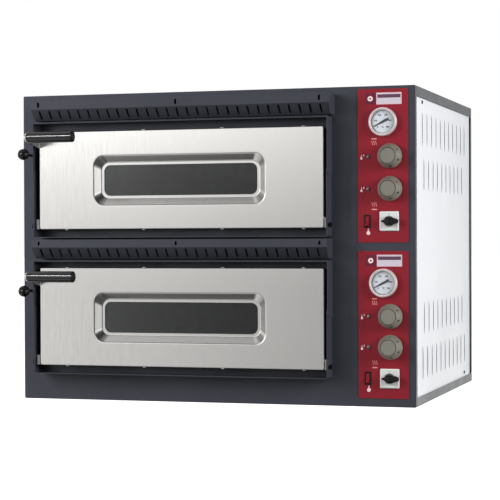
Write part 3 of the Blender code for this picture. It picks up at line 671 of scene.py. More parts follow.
def lamp_places(deck):
    x = middle_of(f"rocker_housing_{deck}").x + LAMP_RIGHT_OF_ROCKER
    knobs = {kind: middle_of(f"{kind}_heat_knob_{deck}").z for kind in LAMP_BELOW_KNOB}
    return [(x, PANEL_FACE, knobs[kind] - below) for kind, below in LAMP_BELOW_KNOB.items()]


def folded_sheet(node, side, slot, corner, fold=FOLD, finish=None):
    """A sheet with folded edges, in the place of its node."""
    surface = pan(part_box(node), side, fold, corner)
    return thicken(piece(f"{node}_sheet", surface, slot, stands_for=[node], finish=finish))


def control_cutters(deck, extra):
    """Cutters that clear the controls through the front panel and the red panel."""
    case = middle_of(f"thermometer_case_{deck}")
    plate = middle_of(f"switch_body_{deck}")
    rocker = middle_of(f"rocker_housing_{deck}")
    holes = [(case, 0.030), (plate, 0.012)]
    holes += [(middle_of(f"{kind}_heat_knob_{deck}"), 0.005) for kind in ("top", "base")]
    holes += [(Vector(place), LAMP_HOLE - 0.001) for place in lamp_places(deck)]
    cutters = [
        placed(hole_cutter(radius + extra, THROUGH), spot("front", (centre.x, FRONT, centre.z)))
        for centre, radius in holes
    ]
    window = slot_cutter(0.0067 + extra, 0.0147 + extra, THROUGH)
    cutters.append(placed(window, spot("front", (rocker.x, FRONT, rocker.z))))
    return cutters


def front_panel():
    made = folded_sheet("front_panel", "front", "slate_paint", PANEL_CORNER)
    for deck in DECKS:
        low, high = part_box(f"chamber_liner_{deck}")
        half_u = (high.x - low.x) / 2 + MOUTH_SIDE
        half_v = (high.z - low.z - MOUTH_FLOOR - MOUTH_ROOF) / 2
        centre_z = (low.z + high.z + MOUTH_FLOOR - MOUTH_ROOF) / 2
        mouth = extruded(rectangle(half_u, half_v, 0.004), -2 * THROUGH, 2 * THROUGH)
        ball = middle_of(f"vent_knob_{deck}")
        carve(made, [placed(mouth, spot("front", ((low.x + high.x) / 2, FRONT, centre_z)))])
        carve(made, [placed(hole_cutter(VENT_HOLE, 2 * THROUGH), spot("front", (ball.x, FRONT, ball.z)))])
        carve(made, control_cutters(deck, 0.001))


def top_cover():
    folded_sheet("top_cover", "up", "cover_paint", COVER_CORNER)


def base_tray():
    # Painted light: the tray wears the lighter copy of the cover's paint.
    folded_sheet("base_tray", "down", "cover_paint", COVER_CORNER, finish=FLOOR_LIT_TRAY_PAINT)


REAR_SLOTS = 6
REAR_SLOT_PITCH = 0.022
REAR_SLOT_HALF = (0.0025, 0.030)
REAR_SLOTS_FROM_RIGHT = 0.1575
REAR_SLOTS_UP = 0.200
REAR_SCREWS_IN = (0.014, 0.33)
REAR_SCREWS_FROM_EDGE = 0.012
GLAND_HOLE = 0.011


def rear_panel():
    low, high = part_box("rear_panel")
    made = folded_sheet("rear_panel", "rear", "cover_paint", COVER_CORNER)
    slots = []
    for deck in DECKS:
        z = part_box(f"door_skin_{deck}")[0].z + REAR_SLOTS_UP
        for i in range(REAR_SLOTS):
            x = RIGHT - REAR_SLOTS_FROM_RIGHT + i * REAR_SLOT_PITCH
            slots.append(placed(slot_cutter(*REAR_SLOT_HALF, THROUGH), spot("rear", (x, high.y, z))))
    carve(made, slots)
    gland = middle_of("cable_gland")
    carve(made, [placed(hole_cutter(GLAND_HOLE, THROUGH), spot("rear", (gland.x, high.y, gland.z)))])
    outer, inner = REAR_SCREWS_IN
    places = [
        (x, high.y, z)
        for x in (low.x + outer, low.x + inner, high.x - inner, high.x - outer)
        for z in (low.z + REAR_SCREWS_FROM_EDGE, high.z - REAR_SCREWS_FROM_EDGE)
    ]
    places += [(x, high.y, (low.z + high.z) / 2) for x in (low.x + outer, high.x - outer)]
    screws("rear_screws", PAN_SCREW, places, "rear")


# Each row of louvres: its lower and upper end, how far behind the front the first one is, how many.
LOUVRE_ROWS = (
    (0.609, 0.689, 0.0985, 11),
    (0.504, 0.580, 0.1165, 10),
    (0.165, 0.241, 0.1165, 10),
    (0.058, 0.135, 0.0985, 11),
)
LOUVRE_PITCH = 0.0577
LOUVRE_RAMP = 0.0085
LOUVRE_HEIGHT = 0.0020
LOUVRE_SHEET = 0.0008
SIDE_SCREWS = ((0.097, 0.712), (0.667, 0.032))


def louvre(length):
    """One pressed hood, drawn across, up and out: an opening, then a ramp down, with round ends."""
    across_steps, up_steps = 6, 18
    rows = []
    for j in range(up_steps + 1):
        s = 2 * j / up_steps - 1
        s = math.copysign(1 - (1 - abs(s)) ** 1.6, s)
        end = (1 - abs(s) ** 5) ** 0.5
        row = []
        for i in range(across_steps + 1):
            t = i / across_steps
            row.append((LOUVRE_RAMP * t, s * length / 2, LOUVRE_HEIGHT * math.cos(math.pi / 2 * t) * end))
        rows.append(row)
    shape = bmesh.new()
    grid = [[shape.verts.new(point) for point in row] for row in rows]
    for low, high in zip(grid, grid[1:]):
        for i in range(across_steps):
            shape.faces.new((low[i], low[i + 1], high[i + 1], high[i]))
    return shape


def side_panel(side, face_x):
    node = f"{side}_side_panel"
    low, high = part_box(node)
    sheet = plate((high.y - low.y) / 2, (high.z - low.z) / 2, 0.002, -SHEET, 0, 0.0003)
    matrix = spot(side, (face_x, (low.y + high.y) / 2, (low.z + high.z) / 2))
    made = piece(f"{node}_sheet", placed(sheet, matrix), "white_paint", stands_for=[node])
    places = [(face_x, FRONT + y, z) for y, z in SIDE_SCREWS]
    screws(f"{side}_side_screws", PAN_SCREW, places, side, finish=BLACKED_STEEL)
    return made


def louvres(made, side, face_x):
    """Cuts the slots in a side panel, and sets a pressed hood over each."""
    slots, hoods = [], []
    for low_z, high_z, first, count in LOUVRE_ROWS:
        length = high_z - low_z
        for i in range(count):
            matrix = spot(side, (face_x, FRONT + first + i * LOUVRE_PITCH, (low_z + high_z) / 2))
            slots.append(placed(slot_cutter(0.0010, length / 2 - 0.006, 0.004, (0.0013, 0)), matrix))
            hoods.append(placed(louvre(length), matrix))
    carve(made, slots)
    pressed = piece(f"{side}_side_louvres", joined(hoods), "white_paint", smooth=60)
    thicken(pressed, LOUVRE_SHEET, even=False, smooth=60)


def side_panels():
    right_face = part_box("right_side_panel")[1].x
    louvres(side_panel("right", right_face), "right", right_face)
    side_panel("left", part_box("left_side_panel")[0].x)


GLAND_RIBS = 18
GLAND_BORE = 0.0072
GLAND_TAIL = 0.012


def hexagon(radius, low, high, edge):
    return round_edges(extruded(arc((0, 0), radius, 0, 360, 6)[:-1], low, high), edge)


def cable_gland():
    """A moulded gland: hexagon, clamping cap with grips, and a lock nut inside."""
    centre = middle_of("cable_gland")
    rear_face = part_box("rear_panel")[1].y
    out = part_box("cable_gland")[1].y - rear_face
    cap = [(GLAND_BORE, out - 0.001), (0.0078, out), (0.0112, out), (0.0128, out - 0.003)]
    cap += [(0.0130, 0.0085), (0.0105, 0.0080), (0.0105, GAP), (0.0100, GAP), (0.0100, -GLAND_TAIL)]
    cap += [(GLAND_BORE, -GLAND_TAIL), cap[0]]
    parts = [hexagon(0.015, GAP, 0.007, 0.0006), turned(cap, 40)]
    for i in range(GLAND_RIBS):
        rib = block((0.0126, -0.0006, 0.0095), (0.0137, 0.0006, out - 0.0045), 0.0003)
        parts.append(placed(rib, turn(360 * i / GLAND_RIBS)))
    parts.append(hexagon(0.0145, -0.0075, -0.0025, 0.0005))
    body = placed(joined(parts), spot("rear", (centre.x, rear_face, centre.z)))
    piece("cable_gland_body", body, "black_plastic", stands_for=["cable_gland"])


# ---------------------------------------------------------------- hoods and door surrounds
HOOD_SLOTS = 29
HOOD_SLOT_PITCH = {"upper": 0.0251, "lower": 0.0248}
HOOD_SLOT_HALF = 0.0026
HOOD_FOOT_OUT = 0.035
HOOD_BROW = {"upper": 0.026, "lower": 0.027}
HOOD_FOLD = 0.0022
FASCIA_SLOTS = (0.066, 0.418, 0.769)


def hood(deck):
    """Fascia, slotted slope and end plates, open below and behind."""
    low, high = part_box(f"hood_{deck}")
    brow = low.z + HOOD_BROW[deck]
    foot_y = FRONT - HOOD_FOOT_OUT

    def outline(inset, past):
        front_y = low.y + inset
        slope = inset * 0.4
        corners = [(high.y + past, high.z - inset, 0), (front_y, high.z - inset, HOOD_FOLD - inset)]
        corners += [(front_y, brow + slope, HOOD_FOLD - inset), (foot_y + slope, low.z, 0)]
        if past:
            corners.append((foot_y + slope, low.z - past, 0))
        return rounded_loop([*corners, (high.y + past, low.z - past, 0)], 5)

    def solid(inset, past):
        return upright(outline(inset, past), low.x + inset, high.x - inset)

    outer = solid(0, 0)
    rims = [e for e in outer.edges if any(abs(f.normal.x) > 0.9 for f in e.link_faces)]
    bmesh.ops.bevel(outer, geom=rims, offset=0.0009, segments=3, profile=0.5, affect="EDGES")
    made = piece(f"hood_{deck}_sheet", outer, "slate_paint", stands_for=[f"hood_{deck}"])
    carve(made, [solid(SHEET, 0.02)])
    carve(made, slope_cutters(deck, (low.y, brow), (foot_y, low.z)))
    marks = []
    for x in FASCIA_SLOTS:
        mark = slot_cutter(0.0028, (high.z - brow) / 2 - 0.0045, 0.004)
        marks.append(placed(mark, spot("front", (LEFT + x, low.y, (brow + high.z) / 2))))
    carve(made, marks)


def slope_cutters(deck, brow, foot):
    """The row of slots that a hood's slope has, from its brow to its foot, each given as (y, z)."""
    low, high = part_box(f"hood_{deck}")
    slope = Vector(foot) - Vector(brow)
    middle = Vector(brow) + slope / 2
    matrix = Matrix.Rotation(math.atan2(slope.x, -slope.y), 4, "X") @ FACING["front"]
    pitch = HOOD_SLOT_PITCH[deck]
    first = (low.x + high.x - (HOOD_SLOTS - 1) * pitch) / 2
    half_length = slope.length / 2 - 0.0042
    cutters = []
    for i in range(HOOD_SLOTS):
        place = Matrix.Translation((first + i * pitch, middle.x, middle.y))
        cutters.append(placed(slot_cutter(HOOD_SLOT_HALF, half_length, 0.006), place @ matrix))
    return cutters


SURROUND_CORNER = 0.0022
SURROUND_FOLD = 0.0016
CHEEK_LAP = (0.123, 0.140)
CHEEK_ROUNDING = 0.011
CHEEK_HOLE = 0.0046
CHEEK_SLOT_HALF = (0.0020, 0.0042)
CHEEK_SLOT_PLACE = (0.0055, 0.023)
PIN_UP = 0.0075
MOUTH_UP = (0.046, 0.186)
HEM = 0.0038
HEM_DEPTH = 0.0026
HEM_SHORT = 0.0004


def cheek_outlines(deck):
    """What is cut from the tray's sides, and the lower sheet that laps inside them, as (y, z)."""
    low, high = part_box(f"door_surround_{deck}")
    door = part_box(f"door_skin_{deck}")[0].z
    lap_low, lap_high = (door + height for height in CHEEK_LAP)
    past = THROUGH
    cut = [(low.y - past, low.z - past), (high.y + past, low.z - past), (high.y + past, lap_low)]
    cut += arc((low.y + CHEEK_ROUNDING, lap_low + CHEEK_ROUNDING), CHEEK_ROUNDING, 270, 180, 6)
    cut.append((low.y - past, lap_low + CHEEK_ROUNDING))
    back = high.y - SHEET
    sheet = [(low.y, low.z, 0), (back, low.z, 0), (back, lap_high, 0), (low.y, lap_high, 0.004)]
    return cut, rounded_loop(sheet)


def cheeks(made, deck):
    """Cuts the tray's sides away low down, and laps a separate sheet inside each."""
    low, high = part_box(f"door_surround_{deck}")
    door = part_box(f"door_skin_{deck}")[0].z
    cut, lapped = cheek_outlines(deck)
    sheets = []
    for x, inward in ((low.x, 1), (high.x, -1)):
        inner_face = x + inward * (SHEET + 0.0002)
        carve(made, [upright(cut, x - inward * 0.004, inner_face)])
        sheet = upright(lapped, inner_face, inner_face + inward * SHEET)
        sheets.append(round_edges(sheet, 0.0003, 2))
    lower = piece(f"surround_cheeks_{deck}", joined(sheets), "slate_paint")
    pin_y = middle_of(f"hinge_right_{deck}").y - 0.001
    slot_y, slot_z = low.y + CHEEK_SLOT_PLACE[0], door + CHEEK_SLOT_PLACE[1]
    for side, x in (("left", low.x), ("right", high.x)):
        carve(lower, [placed(hole_cutter(CHEEK_HOLE, 0.008), spot(side, (x, pin_y, door + PIN_UP)))])
        carve(lower, [placed(slot_cutter(*CHEEK_SLOT_HALF, 0.008), spot(side, (x, slot_y, slot_z)))])


def door_surround(deck):
    """The tray round a door, with a hemmed top lip, lapped cheeks, hinge holes and the oven's mouth."""
    node = f"door_surround_{deck}"
    low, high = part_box(node)
    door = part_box(f"door_skin_{deck}")[0].z
    liner_low, liner_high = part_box(f"chamber_liner_{deck}")
    made = folded_sheet(node, "rear", "slate_paint", SURROUND_CORNER, SURROUND_FOLD)
    half_u = (liner_high.x - liner_low.x) / 2 - 0.002
    half_v = (MOUTH_UP[1] - MOUTH_UP[0]) / 2
    mouth = extruded(rectangle(half_u, half_v, 0.006), -THROUGH, THROUGH)
    centre = ((liner_low.x + liner_high.x) / 2, high.y, door + sum(MOUTH_UP) / 2)
    carve(made, [placed(mouth, spot("front", centre))])
    cheeks(made, deck)
    hem_low = (low.x + HEM_SHORT, low.y, high.z - HEM)
    hem_high = (high.x - HEM_SHORT, low.y + HEM_DEPTH, high.z)
    piece(f"surround_hem_{deck}", block(hem_low, hem_high, 0.0011), "slate_paint")


# ---------------------------------------------------------------- doors
PRESSING_DEPTH = 0.013
PRESSING_WIDTH = 0.0224
# The pressing from the flat skin to the glass: how far in, how far out, and the bend's radius.
PRESSING_PROFILE = (
    (-0.008, 0, 0),
    (0, 0, 0.0065),
    (0.0155, -PRESSING_DEPTH, 0.0045),
    (PRESSING_WIDTH, -PRESSING_DEPTH, 0),
)
GLASS_LAP = 0.005
SIGHT_RADIUS = 0.016
PRESSING_RADIUS = 0.027
SKIN = 0.0012
SKIN_FOLD = 0.010
SKIN_CORNER = 0.0045
DOOR_SCREWS = (0.130, 0.3285, 0.526, 0.725)
LINING_SCREWS = (-0.33, -0.11, 0.11, 0.33)
LINING_SCREWS_FROM_EDGE = 0.012


def sight(deck):
    """Half the width and half the height of the clear glass, and how far it is above the skin's middle."""
    half_u, half_v = half_size(f"door_glass_{deck}")
    rise = middle_of(f"door_glass_{deck}").z - middle_of(f"door_skin_{deck}").z
    return half_u - GLASS_LAP, half_v - GLASS_LAP, rise


def window_ring(deck, inset, out):
    """One outline of the pressing, an inset in from its outer edge."""
    half_u, half_v, rise = sight(deck)
    left_over = PRESSING_WIDTH - inset
    radius = SIGHT_RADIUS + (PRESSING_RADIUS - SIGHT_RADIUS) * min(left_over / PRESSING_WIDTH, 1)
    outline = rectangle(half_u + left_over, half_v + left_over, radius, (0, rise), steps=12)
    return [(u, v, out) for u, v in outline]


def door_skin(deck, body):
    """One drawn sheet: folded edges, and a window pressed in with a soft shoulder and a flat rim."""
    node = f"door_skin_{deck}"
    low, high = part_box(node)
    half_u, half_v = half_size(node)
    folds = [(0, -SKIN_FOLD)] + arc((FOLD, -FOLD), FOLD, 180, 90, 5)
    rings = []
    for inset, out in folds:
        outline = rectangle(half_u - inset, half_v - inset, SKIN_CORNER - inset, steps=12)
        rings.append([(u, v, out) for u, v in outline])
    rings += [window_ring(deck, inset, out) for inset, out in rounded_line(PRESSING_PROFILE, 7)]
    drawn = placed(loft(rings, (False, False)), on_front(node))
    made = piece(f"{node}_sheet", drawn, "brushed_stainless", body, [node], smooth=50)
    thicken(made, SKIN, even=False, smooth=50)
    edge_y = low.y + SKIN_FOLD * 0.55
    for side, z in (("up", high.z), ("down", low.z)):
        places = [(LEFT + x, edge_y, z) for x in DOOR_SCREWS]
        screws(f"door_screws_{side}_{deck}", TALL_SCREW, places, side, body)


def door_glass(deck, body):
    node = f"door_glass_{deck}"
    low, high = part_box(node)
    outline = rectangle(*half_size(node), 0.014, steps=8)
    pane = round_edges(extruded(outline, low.y - high.y, 0), 0.0005, 2, 60)
    piece(f"{node}_pane", placed(pane, on_front(node)), "oven_glass", body, [node])


def door_lining(deck, body):
    """The inner sheet, open at the window, and the screws along its top and bottom."""
    node = f"door_inner_panel_{deck}"
    low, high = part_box(node)
    half_u, half_v = half_size(node)
    centre = Vector(((low.x + high.x) / 2, high.y, (low.z + high.z) / 2))
    sight_u, sight_v, _ = sight(deck)
    window_v = middle_of(f"door_glass_{deck}").z - centre.z
    back = low.y - high.y + 0.0002
    rings = stacked(half_u, half_v, 0.006, ((0, back), (0, -0.0006), (0.0008, 0)), 8)
    for inset, out in ((0.0, 0), (0.0004, -0.0006), (0.0004, back)):
        outline = rectangle(sight_u - inset, sight_v - inset, SIGHT_RADIUS, (0, window_v), steps=8)
        rings.append([(u, v, out) for u, v in outline])
    shape = loft([*rings, rings[0]], (False, False))
    bmesh.ops.remove_doubles(shape, verts=shape.verts, dist=1e-7)
    shape = placed(facing_out(shape), spot("rear", centre))
    piece(f"door_lining_{deck}", shape, "galvanised_steel", body, [node])
    places = [
        (centre.x + u, high.y, centre.z + v)
        for u in LINING_SCREWS
        for v in (LINING_SCREWS_FROM_EDGE - half_v, half_v - LINING_SCREWS_FROM_EDGE)
    ]
    screws(f"lining_screws_{deck}", SMALL_SCREW, places, "rear", body)


STRAP_HALF = 0.010
STRAP_FOOT = (0.029, 0.012)
STRAP_THICKNESS = 0.004


def handle(deck, body):
    """The black grip, the strap that holds it, and the dome nut on the strap's outside."""
    grip_low, grip_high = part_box(f"handle_grip_{deck}")
    arm_low, arm_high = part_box(f"handle_arm_{deck}")
    axis_y, axis_z = (grip_low.y + grip_high.y) / 2, (grip_low.z + grip_high.z) / 2
    radius = (grip_high.z - grip_low.z) / 2
    length = grip_high.x - grip_low.x
    neck = radius - 0.0012
    profile = [(0, length, 0), (radius, length, 0.0035), (radius, 0.0022, 0.0014)]
    profile += [(neck, 0.0022, 0), (neck, 0.0002, 0.0004), (0, 0.0002, 0)]
    grip = placed(turned(rounded_line(profile, 5), 64), spot("right", (grip_low.x, axis_y, axis_z)))
    piece(f"handle_grip_{deck}_turned", grip, "black_plastic", body, [f"handle_grip_{deck}"])
    outline = arc((axis_y, axis_z), STRAP_HALF, 75, 285, 18)
    outline += [(arm_high.y, axis_z - drop_by) for drop_by in STRAP_FOOT]
    strap_left = arm_high.x - STRAP_THICKNESS
    strap = round_edges(upright(outline, strap_left, arm_high.x), 0.0007, 3, 50)
    reach = strap_left - arm_low.x
    nut = [(0, reach, 0), (0.0045, reach, 0.0030), (0.0062, reach * 0.35, 0.0010), (0.0068, 0, 0)]
    nut = turned(rounded_line([*nut, (0, 0, 0)], 5), 40)
    dome = placed(nut, spot("left", (strap_left, axis_y, axis_z)))
    piece(f"handle_arm_{deck}_strap", joined([strap, dome]), "bright_steel", body, [f"handle_arm_{deck}"])


PIN_RADIUS = 0.004
PIN_HEAD = (0.0062, 0.003)
PIN_COLLAR = (0.0055, 0.0004)


def hinge(deck, side, body):
    """The block on the door's lower corner with its pin through the cheek."""
    node = f"hinge_{side}_{deck}"
    low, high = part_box(node)
    cheek_low, cheek_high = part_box(f"door_surround_{deck}")
    if side == "left":
        block_end, door_end, pin_end = cheek_low.x + 0.005, high.x, low.x
    else:
        block_end, door_end, pin_end = cheek_high.x - 0.005, low.x, high.x
    ends = sorted((block_end, door_end))
    body_block = block((ends[0], low.y + 0.0002, low.z), (ends[1], high.y, high.z), 0.0014)
    span = abs(pin_end - block_end)
    head_radius, head = PIN_HEAD
    collar_radius, collar = PIN_COLLAR
    pin = [(0, span, 0), (head_radius, span, 0.0012), (head_radius, span - head, 0.0004)]
    pin += [(PIN_RADIUS, span - head, 0), (PIN_RADIUS, collar, 0), (collar_radius, collar, 0)]
    pin = turned(rounded_line([*pin, (collar_radius, -collar, 0), (0, -collar, 0)], 3), 32)
    axle = placed(pin, spot(side, (block_end, low.y + 0.006, low.z + PIN_UP)))
    piece(f"{node}_block", body_block, "bright_steel", body, [node], DULL_ZINC)
    piece(f"{node}_pin", axle, "bright_steel", body, finish=BLACKED_STEEL)


def door(deck):
    body = f"door_{deck}"
    door_skin(deck, body)
    door_glass(deck, body)
    door_lining(deck, body)
    handle(deck, body)
    for side in ("left", "right"):
        hinge(deck, side, body)


def vent_pull(deck):
    """The ball, and the rod that carries the blade over the chamber's port."""
    node = f"vent_knob_{deck}"
    low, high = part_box(node)
    radius = (high.x - low.x) / 2
    centre = Vector(((low.x + high.x) / 2, low.y + radius, (low.z + high.z) / 2))
    neck = high.y - centre.y
    profile = [(0, radius), *arc((0, 0), radius, 90, -66, 22)[1:]]
    profile += [(0.0052, -neck + 0.0006), (0.0046, -neck), (0, -neck)]
    ball = placed(turned(profile, 48), spot("front", centre))
    piece(f"{node}_ball", ball, "black_plastic", f"vent_pull_{deck}", [node])
    frame["nodes"][f"vent_rod_{deck}"].data.materials[0] = BLACKED_STEEL


# ---------------------------------------------------------------- controls
def control_panel(deck):
    node = f"control_panel_{deck}"
    low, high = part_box(node)
    sheet = placed(plate(*half_size(node), 0.0018, low.y - high.y, 0, 0.0004), on_front(node))
    made = piece(f"{node}_sheet", sheet, "red_paint", stands_for=[node])
    carve(made, control_cutters(deck, 0))


DIAL_START = 225
DIAL_SWEEP = 270
DIAL_NUMBERS = (0, 100, 200, 300, 400, 500)
DIAL_TICKS = 50
DIAL_RADIUS = 0.0270
DIAL_FACE = 0.0046
DIAL_WELL = 0.0285
TICK_OUTER = 0.0245
NUMBERS_RADIUS = 0.0172
NEEDLE_REST = 207


def dial_marks():
    """The ticks, the numbers and the unit, printed on the dial."""
    marks = []
    for i in range(DIAL_TICKS + 1):
        long = 0.0034 if i % 10 == 0 else 0.0024 if i % 5 == 0 else 0.0016
        width = 0.0005 if i % 10 == 0 else 0.00028
        low = (TICK_OUTER - long, -width / 2, DIAL_FACE)
        tick = block(low, (TICK_OUTER, width / 2, DIAL_FACE + PRINT), 0)
        marks.append(placed(tick, turn(DIAL_START - DIAL_SWEEP * i / DIAL_TICKS)))
    height = DIAL_FACE + PRINT / 2
    for number in DIAL_NUMBERS:
        angle = math.radians(DIAL_START - DIAL_SWEEP * number / DIAL_NUMBERS[-1])
        place = (NUMBERS_RADIUS * math.cos(angle), NUMBERS_RADIUS * math.sin(angle), height)
        digits = lettering(str(number), 0.0050, bold=0.00022)
        marks.append(placed(digits, Matrix.Translation(place)))
    unit = lettering("°C", 0.0056, bold=0.00025)
    marks.append(placed(unit, Matrix.Translation((0, -0.0125, height))))
    return joined(marks)


def bezel(outer, out):
    """The case's profile turned round: a flat seat, the well, the rolled edge and the can behind."""
    profile = [(0, 0.0040, 0), (0.0272, 0.0040, 0), (0.0272, 0.0074, 0), (DIAL_WELL, 0.0074, 0.0002)]
    profile += [(DIAL_WELL, 0.0102, 0.0006), (0.0302, out, 0.0010), (outer - 0.0004, 0.0098, 0.0022)]
    profile += [(outer, 0.0030, 0.0008), (outer - 0.0010, GAP, 0.0004), (0.0280, GAP, 0)]
    profile += [(0.0280, -0.025, 0.001), (0, -0.025, 0)]
    return turned(rounded_line(profile, 4), 96)


def needle_shape():
    """A tapered blade with a blunt tail, on a round hub."""
    arm = [(0.0240, 0.0008), (0.0, 0.0024), (-0.0100, 0.0030), (-0.0140, 0.0030), (-0.0152, 0.0020)]
    arm += [(u, -v) for u, v in reversed(arm)]
    blade = placed(round_edges(extruded(arm, 0.0052, 0.0060), 0.0001, 1), turn(NEEDLE_REST))
    return joined([blade, disc(0.0026, 0.0049, 0.0068, 0.0004)])


def thermometer(deck):
    """Case with a rolled bezel, enamelled dial with its scale, needle, and a flat glass."""
    node = f"thermometer_case_{deck}"
    matrix = on_panel(node)
    case = bezel(half_size(node)[0], PANEL_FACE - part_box(node)[0].y)
    piece(f"{node}_bezel", placed(case, matrix), "bright_steel", stands_for=[node], finish=BEZEL_METAL_PAINTED_REFLECTION)
    dial = disc(DIAL_RADIUS, 0.0042, DIAL_FACE, steps=64)
    piece(f"dial_{deck}", placed(dial, matrix), "white_paint", finish=ENAMEL)
    piece(f"dial_scale_{deck}", placed(dial_marks(), matrix), "black_plastic", finish=DARK_INK)
    # Painted shade: a black ring round the dial's rim, where the bezel shades the dial.
    ring = [(0.0258, 0.0047), (DIAL_RADIUS, 0.0047), (0.0272, 0.0074), (0.0268, 0.0074)]
    piece(f"dial_ring_{deck}", placed(turned([*ring, ring[0]], 64), matrix), "black_plastic")
    glass = f"thermometer_glass_{deck}"
    pane = disc(DIAL_WELL - 0.0004, 0.0078, 0.0092, 0.0003, steps=64)
    piece(f"{glass}_pane", placed(pane, matrix), "clear_glass", stands_for=[glass])
    body = f"thermometer_needle_{deck}"
    piece(f"needle_{deck}", placed(needle_shape(), matrix), "black_plastic", body, [body], NEEDLE_PAINT)


KNOB_MARKS = ((87, ""), (36, "1"), (-24, "2"), (-79, "3"), (-134, "4"))
KNOB_GROOVE = (0.0176, 0.0190)
KNOB_GROOVE_DEPTH = 0.0022
KNOB_FOOT = 0.0016
KNOB_SHAFT = 0.0030


def knob_marks(middle, taper):
    """A line at zero and the numbers, laid on the taper round the knob."""
    marks = []
    lean = Matrix.Translation((middle[0], 0, middle[1])) @ Matrix.Rotation(taper, 4, "Y")
    for angle, text in KNOB_MARKS:
        if text:
            mark = lettering(text, 0.0086, 0.0003, 0.00075)
        else:
            mark = block((-0.0006, -0.0030, -0.0001), (0.0006, 0.0030, 0.00015), 0)
        marks.append(placed(mark, turn(angle) @ lean @ turn(-90)))
    return marks


def thermostat_knob(deck, kind):
    """A tapered knob: a cap inside a groove with painted shade on its floor, numbers round the taper, an
    undercut foot and the shaft.
    """
    body = f"{kind}_heat_knob_{deck}"
    low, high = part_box(body)
    outer = (high.x - low.x) / 2
    out = PANEL_FACE - low.y
    back = PANEL_FACE - high.y
    matrix = on_panel(body)
    inner_groove, outer_groove = KNOB_GROOVE
    bottom = out - KNOB_GROOVE_DEPTH
    shoulder, skirt = (0.0200, out - 0.0012), (outer - 0.0008, 0.0096)
    profile = [(0, out - 0.0006, 0), (inner_groove, out - 0.0006, 0.0003), (inner_groove, bottom, 0)]
    profile += [(outer_groove, bottom, 0), (outer_groove, out, 0.0002), (shoulder[0] - 0.0004, out, 0.0004)]
    profile += [(*shoulder, 0.0004), (*skirt, 0.0010), (outer, 0.0078, 0.0006), (outer, 0.0030, 0.0010)]
    profile += [(0.0272, KNOB_FOOT, 0.0004), (KNOB_SHAFT, KNOB_FOOT, 0), (KNOB_SHAFT, back, 0.0004)]
    shape = turned(rounded_line([*profile, (0, back, 0)], 4), 96)
    piece(f"{body}_turned", placed(shape, matrix), "knob_plastic", body, [body])
    taper = math.atan2(shoulder[1] - skirt[1], skirt[0] - shoulder[0])
    marks = knob_marks(((shoulder[0] + skirt[0]) / 2, (shoulder[1] + skirt[1]) / 2), taper)
    # Painted shade: a ring of dark ink on the groove's floor, where the groove lies in shade.
    ring = [(inner_groove, bottom + 0.0001), (inner_groove, bottom + 0.0006)]
    ring += [(outer_groove, height) for _, height in reversed(ring)]
    marks.append(turned([*ring, ring[0]], 64))
    piece(f"{body}_marks", placed(joined(marks), matrix), "black_plastic", body, finish=DARK_INK)


SWITCH_BLOCK_HALF = 0.022
SWITCH_BLOCK = (-0.0465, -0.005)
SWITCH_BOSS = 0.0126


def switch_plate(half, out):
    """The bevelled plate with a raised frame, and behind it the neck and the contact block."""
    layers = ((0, GAP), (0, out * 0.45), (0.0008, out * 0.8), (0.0022, out), (0.0044, out))
    rings = stacked(half, half, 0.0026, layers, 5)
    rings += stacked(half, half, 0.0022, ((0.0048, out - 0.0004),), 5)
    neck = disc(0.0112, -0.006, GAP + 0.0004, 0.0004)
    far = SWITCH_BLOCK_HALF
    contacts = block((-far, -far, SWITCH_BLOCK[0]), (far, far, SWITCH_BLOCK[1]), 0.0015)
    return joined([facing_out(loft(rings)), neck, contacts])


def switch_lever(foot, top):
    """The pointed lever on its boss, with a rib to hold it by."""
    corners = [(0.0224, -0.0046, 0.0014), (0.0224, 0.0046, 0.0014), (0.0060, 0.0095, 0)]
    corners += [(-0.0165, 0.0014, 0.0008), (-0.0165, -0.0014, 0.0008), (0.0060, -0.0095, 0)]
    pointer = extruded(rounded_loop(corners, 4), foot + 0.001, foot + 0.011)
    hub = [(0, top, 0), (0.0070, top, 0.0018), (0.0098, top - 0.0035, 0.0012)]
    hub += [(SWITCH_BOSS, foot + 0.0030, 0.0010), (SWITCH_BOSS, foot, 0.0003), (0, foot, 0)]
    rib = extruded(rectangle(0.0098, 0.0028, 0.0022), foot + 0.004, top - 0.0002)
    return joined([
        round_edges(pointer, 0.0012, 3, 45),
        turned(rounded_line(hub, 4), 56),
        round_edges(rib, 0.0008, 2, 45),
    ])


def switch(deck):
    """The cam switch: its plate with a zero and a tick, and the pointer handle."""
    node = f"switch_body_{deck}"
    matrix = on_panel(node)
    out = PANEL_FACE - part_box(node)[0].y
    shape = switch_plate(half_size(node)[0], out)
    piece(f"{node}_plate", placed(shape, matrix), "plate_plastic", stands_for=[node])
    zero = placed(lettering("0", 0.0050), Matrix.Translation((0, 0.0170, out - 0.0003)))
    tick = block((-0.0003, 0.0128, out - 0.0004), (0.0003, 0.0142, out - 0.0002), 0)
    printed = placed(joined([zero, tick]), matrix)
    piece(f"switch_print_{deck}", printed, "black_plastic", finish=DARK_INK)
    name = f"switch_handle_{deck}"
    lever = switch_lever(out + GAP, PANEL_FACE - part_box(name)[0].y)
    piece(f"{name}_lever", placed(lever, matrix), "black_plastic", name, [name])


ROCKER_TILT = 9.2
ROCKER_HALF = (0.0040, 0.0112)


def paddle():
    """The rocker, which rises from its middle to both ends."""
    half_u, half_v = ROCKER_HALF
    rise = 0.0016
    end = rise + half_v * math.tan(math.radians(ROCKER_TILT))
    corners = [(rise, 0, 0.004), (end, half_v, 0.0006), (-0.0025, half_v - 0.0007, 0), (-0.0050, 0, 0)]
    corners += [(-0.0025, -half_v + 0.0007, 0), (end, -half_v, 0.0006)]
    outline = rounded_loop(corners, 5)
    shape = facing_out(loft([[(u, up, out) for out, up in outline] for u in (-half_u, half_u)]))
    return round_edges(shape, 0.0004, 2, 50)


